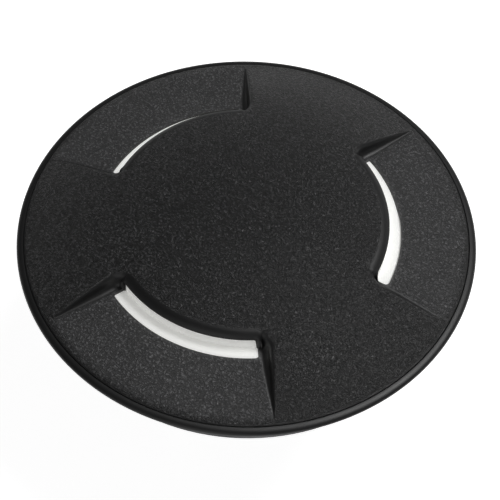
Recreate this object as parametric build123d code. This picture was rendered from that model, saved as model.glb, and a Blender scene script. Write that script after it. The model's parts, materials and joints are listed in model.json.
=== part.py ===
from build123d import *
import os
from math import cos, pi, radians, sin, sqrt, tan

os.makedirs("parts", exist_ok=True)

# In-ground well light with a low, domed three-way cover.  Millimetres, +Z up.
# The origin is on the axis, at the ground line: the plane of the cover rim's underside.

# ---- Cover casting ----
rim_radius = 57.0
crown_height = 10.6         # top of the dome above the ground line
rim_band = 2.0              # width of the smooth band outside the dome
rim_band_height = 1.0       # height of the band where the dome meets it
crease_step = 0.12          # the dome stands this much above the band
crease_groove = 0.3         # width of the fine groove between dome and band
crease_groove_depth = 0.2
cover_wall = 2.0
floor_height = 2.75         # scoop floor at the slot
floor_thickness = 4.55       # down to the underside of the casting
scoop_count = 3
scoop_azimuth = 5.1         # direction of the first scoop's middle, degrees
scoop_half_angle = 33.0     # at the foot of the scoop's walls
scoop_runout_radius = 53.5  # where the scoop floor meets the dome
scoop_corner = 4.0          # plan radius of the scoop's inner corners
scoop_draft = 12.0          # lean of the scoop's side walls, degrees
scoop_foot = 1.6            # fillet between the side walls and the floor
lip_roll = 2.2              # width of the rounded lip over each slot
lip_height = 5.85           # lower edge of the lip
slot_inner_radius = 35.0
slot_width = 3.1
slot_half_angle = 30.8
pocket_radius = 49.0        # hollows under the dome end here
boss_radius = 3.4
rib_thickness = 1.4         # two ribs in each hollow
rib_azimuth = 16.0          # each side of the hollow's middle

# ---- Diffuser and reflector ----
window_wall = 1.6           # upright frosted wall behind each slot
window_drop = 0.45          # frosted ledge below the scoop floor
window_gap = 0.2
diffuser_flange = 1.5       # thickness
diffuser_overlap = 1.5      # flange past the slot
diffuser_inner_step = 1.7   # flange inside the upright walls
gasket_thickness = 0.8
reflector_gap = 1.0         # inside the diffuser's flange
reflector_sheet = 0.8
reflector_pad_radius = 4.2
reflector_pad_height = -2.7
reflector_rise = 6.8        # the reflector's edge above its pad

# ---- Small screws (pan head, 2.5 mm) ----
screw_radius = 1.25
screw_pilot = 1.3           # thread modelled as a close plain hole
screw_clearance_radius = 1.5
screw_head_radius = 2.25
screw_head_height = 1.7
screw_head_edge = 0.5       # bevel round the head
blind_thread = 3.0          # length of thread in a thin wall
ring_thread = 3.8           # length of thread in the casting's bosses
reflector_thread = 5.0
driver_recess = 0.75        # hexagon socket, across corners / 2
head_gap = 0.25

# ---- Lug ring ----
lug_ring_plate = 1.2        # ring under the diffuser's gasket
ring_step = 3.0             # bearing of that ring under the gasket
side_gap = 0.3
skirt_wall = 2.2
lug_depth = 2.2
lug_height = 2.4
lug_half_angle = 7.0
lug_level = -7.2            # middle of a lug, cover closed
skirt_tail = 1.0            # skirt below the lugs
turn_angle = 75.0           # to take the cover off
turn_lift = 6.5
groove_gap = 0.3

# ---- Slip washer and well sleeve ----
washer_thickness = 0.8
washer_margin = 0.3
plate_margin = 1.0          # casting's plate stays inside the collar by this
collar_wall = 2.1
collar_height = 9.0
ledge_gap = 0.8             # under the lug ring's skirt
sleeve_bottom = -58.0
sleeve_wall = 2.8
tube_top_radius = 36.0
tube_bottom = -41.0         # below the lamp's cap, where the well draws in
tube_bottom_radius = 33.0
mouth_radius = 25.5         # at the bottom of the well
seat_thickness = 3.2
seat_wall = 3.2
gusset_count = 12
gusset_thickness = 2.2
gusset_depth = 9.5
anchor_ring = 1.2           # barbed rings that hold the sleeve in the soil
anchor_ring_count = 2
anchor_ring_drop = 16.6     # first ring below the seat
anchor_ring_spacing = 5.0
drain_count = 6
drain_width = 4.0
drain_length = 9.0
notch_width = 9.0
notch_height = 9.0
notch_azimuth = 90.0

# ---- Lamp module ----
flange_radius = 41.6
flange_thickness = 2.4
flange_gap = 0.4
neck_radius = 35.0
neck_height = 3.6
glass_radius = 29.2
glass_thickness = 3.0
seal_lip = 2.2
seal_sheet = 0.8
seal_base = 1.0
seal_gap = 0.1
clamp_thickness = 2.0
countersink = 1.2
clamp_squeeze = 0.4
clamp_screw_count = 6
core_radius = 27.5
chamber_radius = 25.0
driver_bore = 23.0
shelf_drop = 11.4           # shelf below the glass seat
shelf_thickness = 4.0
driver_chamber = 10.9
fin_count = 24
fin_depth = 2.3
fin_thickness = 1.6
wire_hole = 2.2

# ---- Light engine and driver ----
pad_thickness = 0.5
board_thickness = 1.6
board_radius = 22.5
board_screw_circle = 18.6
emitter_size = 3.6
emitter_height = 1.2
emitter_circle = 11.5
optic_plate_radius = 23.0
optic_plate = 1.2
optic_top_radius = 8.2
optic_bottom_radius = 3.4
optic_height = 6.5
optic_leg_radius = 1.6
driver_board_radius = 21.5
spacer_height = 2.4
spacer_radius = 2.6
driver_screw_circle = 17.5
lead_radius = 0.55
lead_reach = 4.0            # from the wire hole to the board's pad
lead_rise = 2.4             # top of the lead above the board
lead_bend = 1.2
choke_place = (8.0, -5.0)
choke_radius = 4.5
choke_waist = 3.9
choke_flange = 0.7
choke_height = 4.0
can_places = ((-8.0, -6.5), (-8.0, 1.0))
can_radius = 2.6
can_height = 4.2
block_place = (4.0, 8.0)
block_length = 7.0
block_width = 5.0
block_height = 2.4

# ---- Base cap and cable gland ----
cap_thickness = 2.5
plug_depth = 2.4
plug_gap = 0.15
fit_gap = 0.05              # round a seated ring, thread or glass edge
ring_section = 0.75
cap_screw_circle = 25.3
gland_thread = 6.0
gland_bore = 3.6
gland_across_flats = 16.0
gland_hex_height = 3.0
gland_washer = 0.6
gland_spigot = 5.0
gland_socket = 5.0
seal_bore = 3.2
seal_length = 5.6
nut_length = 8.6
nut_mouth = 4.4
nut_land = 0.4

# ---- Places worked out from the sizes above ----
crease_radius = rim_radius - rim_band
crease_height = rim_band_height + crease_step
dome_rise = crown_height - crease_height
dome_sphere = (crease_radius ** 2 + dome_rise ** 2) / (2 * dome_rise)
slot_outer_radius = slot_inner_radius + slot_width
plate_bottom = floor_height - floor_thickness
diffuser_inner_radius = slot_inner_radius - window_gap - window_wall - diffuser_inner_step
diffuser_radius = slot_outer_radius + diffuser_overlap
reflector_radius = diffuser_inner_radius - reflector_gap
diffuser_bottom = plate_bottom - diffuser_flange
gasket_bottom = diffuser_bottom - gasket_thickness
lug_ring_bottom = gasket_bottom - lug_ring_plate
ring_screw_circle = diffuser_radius + head_gap + screw_head_radius
skirt_inner = ring_screw_circle + screw_head_radius + head_gap
skirt_outer = skirt_inner + skirt_wall
lug_tip = skirt_outer + lug_depth
lead = turn_lift * 360 / turn_angle
lug_slope = lead / 360      # millimetres of rise per degree
skirt_bottom = lug_level - lug_height / 2 - lug_slope * lug_half_angle - skirt_tail
collar_bore = skirt_outer + groove_gap
groove_radius = lug_tip + groove_gap
collar_outer = groove_radius + collar_wall
plate_radius = collar_outer - plate_margin
collar_top = plate_bottom - washer_thickness
ledge_height = skirt_bottom - ledge_gap
recess_radius = flange_radius + flange_gap
flange_top = ledge_height - 1.0
seat_height = flange_top - flange_thickness
seat_bottom = seat_height - seat_thickness
neck_top = flange_top + neck_height
clamp_bottom = neck_top + clamp_squeeze
glass_top = clamp_bottom - seal_sheet
glass_bottom = glass_top - glass_thickness
glass_seat = glass_bottom - seal_base
seal_outer = glass_radius + seal_gap + seal_sheet
glass_recess = seal_outer + seal_gap
shelf_top = glass_seat - shelf_drop
shelf_bottom = shelf_top - shelf_thickness
core_bottom = shelf_bottom - driver_chamber
board_top = shelf_top + pad_thickness + board_thickness
spacer_bottom = shelf_bottom - spacer_height
driver_board_bottom = spacer_bottom - board_thickness
cap_bottom = core_bottom - cap_thickness
gland_top = cap_bottom - gland_washer
hex_bottom = gland_top - gland_hex_height
hanger_circle = (neck_radius + flange_radius) / 2
clamp_screw_circle = (glass_recess + neck_radius) / 2
half_turn_step = 360 / scoop_count / 2


def dome_height(radius, drop=0.0):
    """Height of the dome's surface, or of a surface inside it by drop."""
    sphere = dome_sphere - drop
    return crown_height - dome_sphere + sqrt(sphere ** 2 - radius ** 2)


def turned(*points):
    """Solid of revolution about Z, from an outline of (radius, height) points."""
    return revolve(Plane.XZ * make_face(Polyline(*points, close=True)), Axis.Z)


def ring(inner, outer, bottom, top):
    """Plain ring between two radii and two heights."""
    return turned((inner, bottom), (outer, bottom), (outer, top), (inner, top))


def disc(radius, bottom, top):
    """Plain upright cylinder."""
    return Pos(0, 0, bottom) * Cylinder(radius, top - bottom, align=(Align.CENTER, Align.CENTER, Align.MIN))


def sector(profile, middle, half_angle):
    """Part of a revolution of a face in the XZ plane, centred on an azimuth."""
    return Rot(0, 0, middle - half_angle) * revolve(profile, Axis.Z, 2 * half_angle)


def band(inner, outer, bottom, top, middle, half_angle):
    """Part of a plain ring, centred on an azimuth."""
    outline = Polyline((inner, bottom), (outer, bottom), (outer, top), (inner, top), close=True)
    return sector(Plane.XZ * make_face(outline), middle, half_angle)


def around(shape, count, start=0.0):
    """Copies of a shape at even steps about Z."""
    return [Rot(0, 0, start + 360 / count * step) * shape for step in range(count)]


def placed(shape, radius, count, start=0.0):
    """Copies of an upright shape on a circle about Z."""
    return around(Pos(radius, 0, 0) * shape, count, start)


def pan_screw(seat, length, up=False):
    """Pan-head screw on the Z axis: its head bears on the seat height, above it or, with up, below."""
    head = disc(screw_head_radius, 0, screw_head_height)
    head = chamfer(head.edges().group_by(Axis.Z)[-1], screw_head_edge)
    socket_depth = screw_head_height * 0.6
    socket = extrude(RegularPolygon(driver_recess, 6), socket_depth)
    socket = Pos(0, 0, screw_head_height - socket_depth) * socket
    screw = head - socket + disc(screw_radius, -length, 0)
    if up:
        screw = Rot(180, 0, 0) * screw
    return Pos(0, 0, seat) * screw


def helical_bar(inner, outer, height, middle, half_angle, level):
    """Bar along the cover's helix, level at its middle, rising with azimuth."""
    radius = (inner + outer) / 2
    rise = lug_slope * 2 * half_angle
    path = Helix(pitch=lead, height=rise, radius=radius)
    section = Plane(origin=path @ 0, x_dir=(1, 0, 0), z_dir=path % 0) * Rectangle(outer - inner, height)
    bar = sweep(section, path, is_frenet=True)
    return Rot(0, 0, middle - half_angle) * Pos(0, 0, level - rise / 2) * bar


def scoop_outline(margin=0.0):
    """Plan of one scoop at floor level, grown by a margin; the first scoop's middle is on +X."""
    inner = slot_inner_radius - lip_roll + 0.7 - margin
    outer = rim_radius + 5
    shift = Vector(-margin * sin(radians(scoop_half_angle)), margin * cos(radians(scoop_half_angle)))
    near = Vector(1, 0).rotate(Axis.Z, scoop_half_angle) * inner + shift
    far = Vector(1, 0).rotate(Axis.Z, scoop_half_angle) * outer + shift
    inner_arc = ThreePointArc((near.X, near.Y), (inner, 0), (near.X, -near.Y))
    outer_arc = ThreePointArc((far.X, far.Y), (outer, 0), (far.X, -far.Y))
    sides = [Line((near.X, side * near.Y), (far.X, side * far.Y)) for side in (-1, 1)]
    plan = make_face([inner_arc, outer_arc] + sides)
    corners = plan.vertices().sort_by(Axis.X)[:2]
    return fillet(corners, scoop_corner + margin)


def scoop_cutter():
    """Air over one scoop: rolled lip, floor falling outwards, leaning side walls with filleted feet."""
    sky = crown_height + 3
    roll_start = slot_inner_radius - lip_roll
    slope = (dome_height(scoop_runout_radius) - floor_height) / (scoop_runout_radius - slot_outer_radius)
    start = (roll_start, dome_height(roll_start))
    lip = (slot_inner_radius, lip_height)
    floor_in = (slot_inner_radius, floor_height - slope * slot_width)
    floor_out = (rim_radius + 5, floor_height + slope * (rim_radius + 5 - slot_outer_radius))
    tangent = (sqrt(dome_sphere ** 2 - roll_start ** 2), -roll_start)
    roll = TangentArc(start, lip, tangent=tangent)
    rest = Polyline(lip, floor_in, floor_out, (rim_radius + 5, sky), (roll_start, sky), start)
    swept = revolve(Plane.XZ * make_face(roll + rest), Axis.Z)
    base = floor_out[1] - 0.1
    prism = Pos(0, 0, base) * extrude(scoop_outline(), sky - base, taper=-scoop_draft)
    air = (swept & prism).solids()[0]
    feet = air.edges().filter_by(lambda edge: edge.bounding_box().max.Z < lip_height)
    feet = feet.filter_by(lambda edge: min(Vector(v.X, v.Y).length for v in edge.vertices()) < rim_radius)
    return Rot(0, 0, scoop_azimuth) * fillet(feet, scoop_foot)


def cover_casting():
    """Domed cover: shell, three scoops with slots, rim, screw bosses and reflector boss."""
    top = ThreePointArc(
        (0, crown_height),
        (crease_radius / 2, dome_height(crease_radius / 2)),
        (crease_radius, crease_height),
    )
    band_start = crease_radius + crease_groove
    groove = Polyline(
        (crease_radius, crease_height),
        (crease_radius + crease_groove / 2, rim_band_height - crease_groove_depth),
        (band_start, rim_band_height),
    )
    edge = EllipticalCenterArc((band_start, 0), rim_radius - band_start, rim_band_height, arc_size=90)
    under = Polyline(
        (rim_radius, 0),
        (plate_radius, 0),
        (plate_radius, plate_bottom),
        (0, plate_bottom),
        (0, crown_height),
    )
    outline = [top, groove, edge, under]
    body = revolve(Plane.XZ * make_face(outline), Axis.Z)
    body -= around(scoop_cutter(), scoop_count)
    hollow_top = (pocket_radius, dome_height(pocket_radius, cover_wall))
    ceiling = ThreePointArc(
        (0, crown_height - cover_wall),
        (pocket_radius / 2, dome_height(pocket_radius / 2, cover_wall)),
        hollow_top,
    )
    below = plate_bottom - 1
    walls = Polyline(hollow_top, (pocket_radius, below), (0, below), (0, crown_height - cover_wall))
    hollow = revolve(Plane.XZ * make_face(ceiling + walls), Axis.Z)
    scoop_block = Pos(0, 0, below - 1) * extrude(scoop_outline(cover_wall), crown_height + 5)
    hollow -= around(Rot(0, 0, scoop_azimuth) * scoop_block, scoop_count)
    between = scoop_azimuth + half_turn_step
    hollow -= placed(disc(boss_radius, below - 1, crown_height), ring_screw_circle, scoop_count, between)
    hollow -= disc(reflector_pad_radius, below - 1, crown_height)
    rib = Pos((diffuser_inner_radius + pocket_radius) / 2, 0, 0) * Box(
        pocket_radius - diffuser_inner_radius + 2, rib_thickness, 4 * crown_height
    )
    for turn in (-rib_azimuth, rib_azimuth):
        hollow -= around(rib, scoop_count, between + turn)
    body -= hollow
    window_top = lip_height - window_gap
    window = band(
        diffuser_inner_radius, slot_outer_radius, below, window_top, scoop_azimuth, slot_half_angle
    )
    body -= around(window, scoop_count)
    body += disc(reflector_pad_radius, reflector_pad_height, plate_bottom + 0.1)
    ring_pilot = disc(screw_pilot, plate_bottom - 1, plate_bottom + ring_thread + 0.3)
    body -= placed(ring_pilot, ring_screw_circle, scoop_count, between)
    return body - disc(screw_pilot, reflector_pad_height - 1, reflector_pad_height + reflector_thread + 0.5)


def diffuser_ring():
    """Frosted ring: a flat flange with an upright window behind each slot."""
    flange = ring(diffuser_inner_radius, diffuser_radius, diffuser_bottom, plate_bottom)
    wall_outer = slot_inner_radius - window_gap
    wall_inner = wall_outer - window_wall
    ledge_outer = slot_outer_radius - window_gap
    ledge_top = floor_height - window_drop
    half = slot_half_angle - degrees_of(window_gap, slot_inner_radius)
    ledge = band(wall_inner, ledge_outer, diffuser_bottom, ledge_top, scoop_azimuth, half)
    wall = band(wall_inner, wall_outer, diffuser_bottom, lip_height - 2 * window_gap, scoop_azimuth, half)
    return flange + around(ledge + wall, scoop_count)


def degrees_of(length, radius):
    """Angle that a length takes up on a circle."""
    return length / radius * 180 / pi


def diffuser_gasket():
    """Flat silicone ring that presses the diffuser against the casting."""
    return ring(diffuser_radius - ring_step, diffuser_radius, gasket_bottom, diffuser_bottom)


def lug_ring():
    """Ring that holds the diffuser and carries three helical lugs on its skirt."""
    body = turned(
        (diffuser_radius - ring_step, lug_ring_bottom),
        (skirt_inner, lug_ring_bottom),
        (skirt_inner, skirt_bottom),
        (skirt_outer, skirt_bottom),
        (skirt_outer, plate_bottom),
        (diffuser_radius + side_gap, plate_bottom),
        (diffuser_radius + side_gap, gasket_bottom),
        (diffuser_radius - ring_step, gasket_bottom),
    )
    lug = helical_bar(skirt_outer - 0.5, lug_tip, lug_height, scoop_azimuth, lug_half_angle, lug_level)
    body += around(lug, scoop_count)
    hole = disc(screw_clearance_radius, lug_ring_bottom - 1, plate_bottom + 1)
    return body - placed(hole, ring_screw_circle, scoop_count, scoop_azimuth + half_turn_step)


def lug_ring_screws():
    """Three screws from below, through the lug ring into the casting's bosses."""
    screw = pan_screw(lug_ring_bottom, plate_bottom - lug_ring_bottom + ring_thread, up=True)
    return placed(screw, ring_screw_circle, scoop_count, scoop_azimuth + half_turn_step)


def reflector_cone():
    """Spun aluminium cone that throws the light out to the slots."""
    pad = reflector_pad_height
    edge = pad + reflector_rise
    outline = Polyline(
        (0, pad),
        (reflector_pad_radius, pad),
        (reflector_radius - 1, edge),
        (reflector_radius, edge),
        (reflector_radius, edge - reflector_sheet),
        (reflector_radius - 0.8, edge - reflector_sheet),
        (reflector_pad_radius + 0.2, pad - reflector_sheet),
        (0, pad - reflector_sheet),
        close=True,
    )
    return revolve(Plane.XZ * make_face(outline), Axis.Z) - disc(screw_clearance_radius, pad - 2, pad + 1)


def reflector_screw():
    """Screw that holds the reflector to the casting's middle boss."""
    return pan_screw(reflector_pad_height - reflector_sheet, reflector_sheet + reflector_thread, up=True)


def slip_washer():
    """Low-friction washer between casting and collar, notched so that the lugs pass it."""
    body = ring(collar_bore + washer_margin, plate_radius - washer_margin, collar_top, plate_bottom)
    notch = band(
        collar_bore - 1, groove_radius, collar_top - 1, plate_bottom + 1, scoop_azimuth, lug_half_angle + 2
    )
    return body - around(notch, scoop_count)


def well_sleeve():
    """Moulded well: collar with three helical grooves, lamp seat, and a tapered tube that draws in below."""
    collar_bottom = collar_top - collar_height
    taper = (tube_top_radius - tube_bottom_radius) / (seat_bottom - tube_bottom)
    seat_outer = recess_radius + seat_wall
    outer = [
        (collar_outer, collar_top),
        (collar_outer, collar_bottom),
        (seat_outer, collar_bottom - (collar_outer - seat_outer) / 3),
        (seat_outer, seat_bottom),
        (tube_top_radius, seat_bottom),
        (tube_bottom_radius, tube_bottom),
        (mouth_radius, sleeve_bottom),
    ]
    inner = [
        (mouth_radius - sleeve_wall, sleeve_bottom),
        (tube_bottom_radius - sleeve_wall, tube_bottom),
        (tube_top_radius - sleeve_wall, seat_height),
        (recess_radius, seat_height),
        (recess_radius, ledge_height),
        (collar_bore, ledge_height),
        (collar_bore, collar_top),
    ]
    body = turned(*outer, *inner)
    gusset_foot = seat_bottom - gusset_depth
    foot_radius = tube_top_radius - taper * gusset_depth
    gusset = Polyline(
        (tube_top_radius - 1, seat_bottom + 0.5),
        (seat_outer - 0.8, seat_bottom + 0.5),
        (seat_outer - 0.8, seat_bottom - 1),
        (foot_radius, gusset_foot),
        (foot_radius - 1, gusset_foot),
        close=True,
    )
    web = extrude(Plane.XZ * make_face(gusset), gusset_thickness / 2, both=True)
    body += around(web, gusset_count, 360 / gusset_count / 2)
    for step in range(anchor_ring_count):
        drop = anchor_ring_drop + anchor_ring_spacing * step
        level = seat_bottom - drop
        radius = tube_top_radius - taper * drop
        body += turned(
            (radius - 1, level - 2 * anchor_ring),
            (radius + anchor_ring, level),
            (radius + anchor_ring, level + 1),
            (radius - 1, level + 1),
        )
    groove_start = -lug_half_angle - degrees_of(groove_gap, lug_tip)
    groove_end = (collar_top - lug_level + lug_height) / lug_slope
    middle = (groove_start + groove_end) / 2
    groove = helical_bar(
        collar_bore - 0.5,
        groove_radius,
        lug_height + 2 * groove_gap,
        scoop_azimuth + middle,
        (groove_end - groove_start) / 2,
        lug_level + lug_slope * middle,
    )
    body -= around(groove, scoop_count)
    wall_inside = mouth_radius - 2 * sleeve_wall
    wall_depth = tube_top_radius - wall_inside
    drain = extrude(SlotOverall(drain_length, drain_width), wall_depth)
    drain = Pos(wall_inside, 0, sleeve_bottom + drain_length) * Rot(0, 90, 0) * drain
    body -= around(drain, drain_count)
    notch_straight = notch_height - notch_width / 2
    notch = Rectangle(2 * notch_straight, notch_width) + Pos(-notch_straight, 0) * Circle(notch_width / 2)
    cut = Pos(wall_inside, 0, sleeve_bottom) * Rot(0, 90, 0) * extrude(notch, wall_depth)
    body -= Rot(0, 0, notch_azimuth) * cut
    pilot = disc(screw_pilot, seat_bottom - 1, seat_height + 1)
    return body - placed(pilot, hanger_circle, scoop_count, scoop_azimuth + half_turn_step)


def module_body():
    """Cast aluminium lamp body: glass seat, hanging flange, finned core, shelf and driver chamber."""
    body = turned(
        (0, shelf_top),
        (chamber_radius, shelf_top),
        (chamber_radius, glass_seat),
        (glass_recess, glass_seat),
        (glass_recess, neck_top),
        (neck_radius, neck_top),
        (neck_radius, flange_top),
        (flange_radius, flange_top),
        (flange_radius, seat_height),
        (core_radius, seat_height),
        (core_radius, core_bottom),
        (driver_bore, core_bottom),
        (driver_bore, shelf_bottom),
        (0, shelf_bottom),
    )
    fin_top = seat_height + 1
    fin_bottom = core_bottom + 2
    fin = Box(fin_depth + 1, fin_thickness, fin_top - fin_bottom, align=(Align.MIN, Align.CENTER, Align.MIN))
    body += around(Pos(core_radius - 1, 0, fin_bottom) * fin, fin_count)
    hanger_hole = disc(screw_clearance_radius, seat_height - 1, flange_top + 1)
    body -= placed(hanger_hole, hanger_circle, scoop_count, scoop_azimuth + half_turn_step)
    clamp_pilot = disc(screw_pilot, neck_top - 1.5 * blind_thread - 0.3, neck_top + 1)
    body -= placed(clamp_pilot, clamp_screw_circle, clamp_screw_count)
    board_pilot = disc(screw_pilot, shelf_top - blind_thread - 0.3, shelf_top + 1)
    body -= placed(board_pilot, board_screw_circle, scoop_count, scoop_azimuth)
    driver_pilot = disc(screw_pilot, shelf_bottom - 1, shelf_bottom + blind_thread + 0.3)
    body -= placed(driver_pilot, driver_screw_circle, scoop_count, scoop_azimuth + half_turn_step)
    cap_pilot = disc(screw_pilot, core_bottom - 1, core_bottom + 1.5 * blind_thread + 0.3)
    body -= placed(cap_pilot, cap_screw_circle, scoop_count, scoop_azimuth)
    return body - disc(wire_hole, shelf_bottom - 1, shelf_top + 1)


def hanger_screws():
    """Three screws that hold the lamp's flange down on the sleeve's seat."""
    screw = pan_screw(flange_top, flange_thickness + seat_thickness)
    return placed(screw, hanger_circle, scoop_count, scoop_azimuth + half_turn_step)


def lens_seal():
    """Silicone channel round the edge of the glass."""
    inner = glass_radius - seal_lip
    outer = seal_outer
    return turned(
        (inner, glass_seat),
        (outer, glass_seat),
        (outer, clamp_bottom),
        (inner, clamp_bottom),
        (inner, glass_top),
        (glass_radius + fit_gap, glass_top),
        (glass_radius + fit_gap, glass_bottom),
        (inner, glass_bottom),
    )


def glass_lens():
    """Flat toughened glass disc with ground edges."""
    body = disc(glass_radius, glass_bottom, glass_top)
    return chamfer(body.edges().filter_by(GeomType.CIRCLE), 0.4)


def clamp_ring():
    """Stainless ring over the glass seal, countersunk for its screws."""
    top = clamp_bottom + clamp_thickness
    body = ring(glass_radius - seal_lip - 0.6, neck_radius, clamp_bottom, top)
    sink = turned(
        (0, clamp_bottom - 1),
        (screw_clearance_radius, clamp_bottom - 1),
        (screw_clearance_radius, top - countersink),
        (screw_head_radius + 0.1, top),
        (screw_head_radius + 0.1, top + 1),
        (0, top + 1),
    )
    return body - placed(sink, clamp_screw_circle, clamp_screw_count)


def clamp_screws():
    """Countersunk screws of the clamp ring."""
    top = clamp_bottom + clamp_thickness - 0.1
    length = clamp_thickness + clamp_squeeze + 1.2 * blind_thread
    body = turned(
        (0, top - length),
        (screw_radius, top - length),
        (screw_radius, top - countersink + 0.1),
        (screw_head_radius, top),
        (0, top),
    )
    body -= Pos(0, 0, top - 0.9) * extrude(RegularPolygon(driver_recess, 6), 2)
    return placed(body, clamp_screw_circle, clamp_screw_count)


def thermal_pad():
    """Soft pad that carries heat from the board to the shelf."""
    body = disc(board_radius, shelf_top, shelf_top + pad_thickness)
    hole = disc(screw_clearance_radius, shelf_top - 1, board_top)
    body -= placed(hole, board_screw_circle, scoop_count, scoop_azimuth)
    return body - disc(wire_hole, shelf_top - 1, board_top)


def emitter_board():
    """Metal-core circuit board of the three emitters."""
    bottom = shelf_top + pad_thickness
    body = disc(board_radius, bottom, board_top)
    hole = disc(screw_clearance_radius, bottom - 1, board_top + 1)
    body -= placed(hole, board_screw_circle, scoop_count, scoop_azimuth)
    return body - disc(wire_hole, bottom - 1, board_top + 1)


def board_screws():
    """Screws of the emitter board, into the shelf."""
    screw = pan_screw(board_top, board_thickness + pad_thickness + blind_thread)
    return placed(screw, board_screw_circle, scoop_count, scoop_azimuth)


def emitters():
    """Three light-emitting diodes: a square package with a small dome."""
    body = Pos(0, 0, board_top) * Box(
        emitter_size, emitter_size, emitter_height / 2, align=(Align.CENTER, Align.CENTER, Align.MIN)
    )
    dome = turned(
        (0, board_top),
        (emitter_size * 0.42, board_top),
        (emitter_size * 0.42, board_top + emitter_height * 0.6),
        (emitter_size * 0.25, board_top + emitter_height),
        (0, board_top + emitter_height),
    )
    return placed(body + dome, emitter_circle, scoop_count, scoop_azimuth)


def optic():
    """Clear moulding with one collimating cone over each emitter, on three legs."""
    top = board_top + optic_height + 1
    plate_under = top - optic_plate
    body = disc(optic_plate_radius, plate_under, top)
    foot = board_top + 0.9
    joint = plate_under + 0.3
    cone = turned((0, joint), (optic_top_radius, joint), (optic_bottom_radius, foot), (0, foot))
    cup = turned(
        (0, foot - 1),
        (emitter_size * 0.62, foot - 1),
        (emitter_size * 0.55, foot + 2.2),
        (0, foot + 2.8),
    )
    body += placed(cone, emitter_circle, scoop_count, scoop_azimuth)
    leg = disc(optic_leg_radius, board_top, joint)
    body += placed(leg, board_screw_circle, scoop_count, scoop_azimuth + half_turn_step)
    return body - placed(cup, emitter_circle, scoop_count, scoop_azimuth)


def lead_wire(side):
    """One lead from the driver board up through the shelf to a pad on the emitter board."""
    reach = side * wire_hole / 2
    path = FilletPolyline(
        (reach, 0, spacer_bottom),
        (reach, 0, board_top + lead_rise),
        (reach + side * lead_reach, 0, board_top + lead_rise),
        (reach + side * lead_reach, 0, board_top),
        radius=lead_bend,
    )
    section = Plane(origin=path @ 0, z_dir=path % 0) * Circle(lead_radius)
    return sweep(section, path)


def red_lead():
    """Lead to the positive pad."""
    return lead_wire(1)


def black_lead():
    """Lead to the negative pad."""
    return lead_wire(-1)


def driver_spacers():
    """Spacers between the shelf and the driver board."""
    tube = ring(screw_clearance_radius, spacer_radius, spacer_bottom, shelf_bottom)
    return placed(tube, driver_screw_circle, scoop_count, scoop_azimuth + half_turn_step)


def driver_board():
    """Circuit board of the low-voltage driver."""
    body = disc(driver_board_radius, driver_board_bottom, spacer_bottom)
    hole = disc(screw_clearance_radius, driver_board_bottom - 1, spacer_bottom + 1)
    return body - placed(hole, driver_screw_circle, scoop_count, scoop_azimuth + half_turn_step)


def driver_screws():
    """Screws that hold the driver board up against its spacers."""
    screw = pan_screw(driver_board_bottom, board_thickness + spacer_height + blind_thread, up=True)
    return placed(screw, driver_screw_circle, scoop_count, scoop_azimuth + half_turn_step)


def choke():
    """Wound drum choke, a spool with its winding."""
    top = driver_board_bottom
    bottom = top - choke_height
    return Pos(*choke_place) * turned(
        (0, top),
        (choke_radius, top),
        (choke_radius, top - choke_flange),
        (choke_waist, top - choke_flange),
        (choke_waist, bottom + choke_flange),
        (choke_radius, bottom + choke_flange),
        (choke_radius, bottom),
        (0, bottom),
    )


def capacitors():
    """Two electrolytic cans."""
    can = disc(can_radius, driver_board_bottom - can_height, driver_board_bottom)
    can = chamfer(can.edges().group_by(Axis.Z)[0], 0.4)
    return [Pos(*place) * can for place in can_places]


def bridge_block():
    """Moulded rectifier block."""
    block = Box(block_length, block_width, block_height, align=(Align.CENTER, Align.CENTER, Align.MAX))
    return Pos(*block_place, driver_board_bottom) * block


def base_cap():
    """Cap that closes the driver chamber, grooved for its ring and bored for the gland."""
    plug_top = core_bottom + plug_depth
    plug = driver_bore - plug_gap
    groove = driver_bore - 2 * ring_section - fit_gap
    bore = gland_thread + fit_gap
    ring_low = core_bottom + (plug_depth - 2 * ring_section) / 2
    body = turned(
        (bore, cap_bottom),
        (core_radius, cap_bottom),
        (core_radius, core_bottom),
        (plug, core_bottom),
        (plug, ring_low),
        (groove, ring_low),
        (groove, ring_low + 2 * ring_section),
        (plug, ring_low + 2 * ring_section),
        (plug, plug_top),
        (bore, plug_top),
    )
    hole = disc(screw_clearance_radius, cap_bottom - 1, core_bottom + 1)
    return body - placed(hole, cap_screw_circle, scoop_count, scoop_azimuth)


def cap_ring():
    """O-ring of the base cap."""
    level = core_bottom + plug_depth / 2
    return Pos(0, 0, level) * Torus(driver_bore - ring_section - fit_gap, ring_section)


def cap_screws():
    """Screws of the base cap, from below."""
    screw = pan_screw(cap_bottom, cap_thickness + 1.5 * blind_thread, up=True)
    return placed(screw, cap_screw_circle, scoop_count, scoop_azimuth)


def hexagon(bottom, top):
    """Hexagonal prism of the gland's size."""
    outline = RegularPolygon(gland_across_flats / 2, 6, major_radius=False)
    return Pos(0, 0, bottom) * extrude(outline, top - bottom)


def gland_washer_seal():
    """Flat seal under the gland's hexagon."""
    return ring(gland_thread, gland_across_flats / 2 - 0.4, gland_top, cap_bottom)


def gland_body():
    """Cable gland: hexagon, upper thread into the cap, lower spigot round the seal."""
    spigot_bottom = hex_bottom - gland_spigot
    body = hexagon(hex_bottom, gland_top)
    body += disc(gland_thread, spigot_bottom, core_bottom + plug_depth)
    body -= disc(gland_bore, spigot_bottom - 1, core_bottom + plug_depth + 1)
    return body - disc(gland_socket, spigot_bottom - 1, hex_bottom - 0.5)


def gland_seal():
    """Rubber seal that the nut squeezes onto the cable."""
    top = hex_bottom - 0.5
    bottom = top - seal_length
    outer = gland_socket
    return turned(
        (seal_bore, bottom), (outer - 0.9, bottom), (outer, bottom + 0.9), (outer, top), (seal_bore, top)
    )


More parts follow.
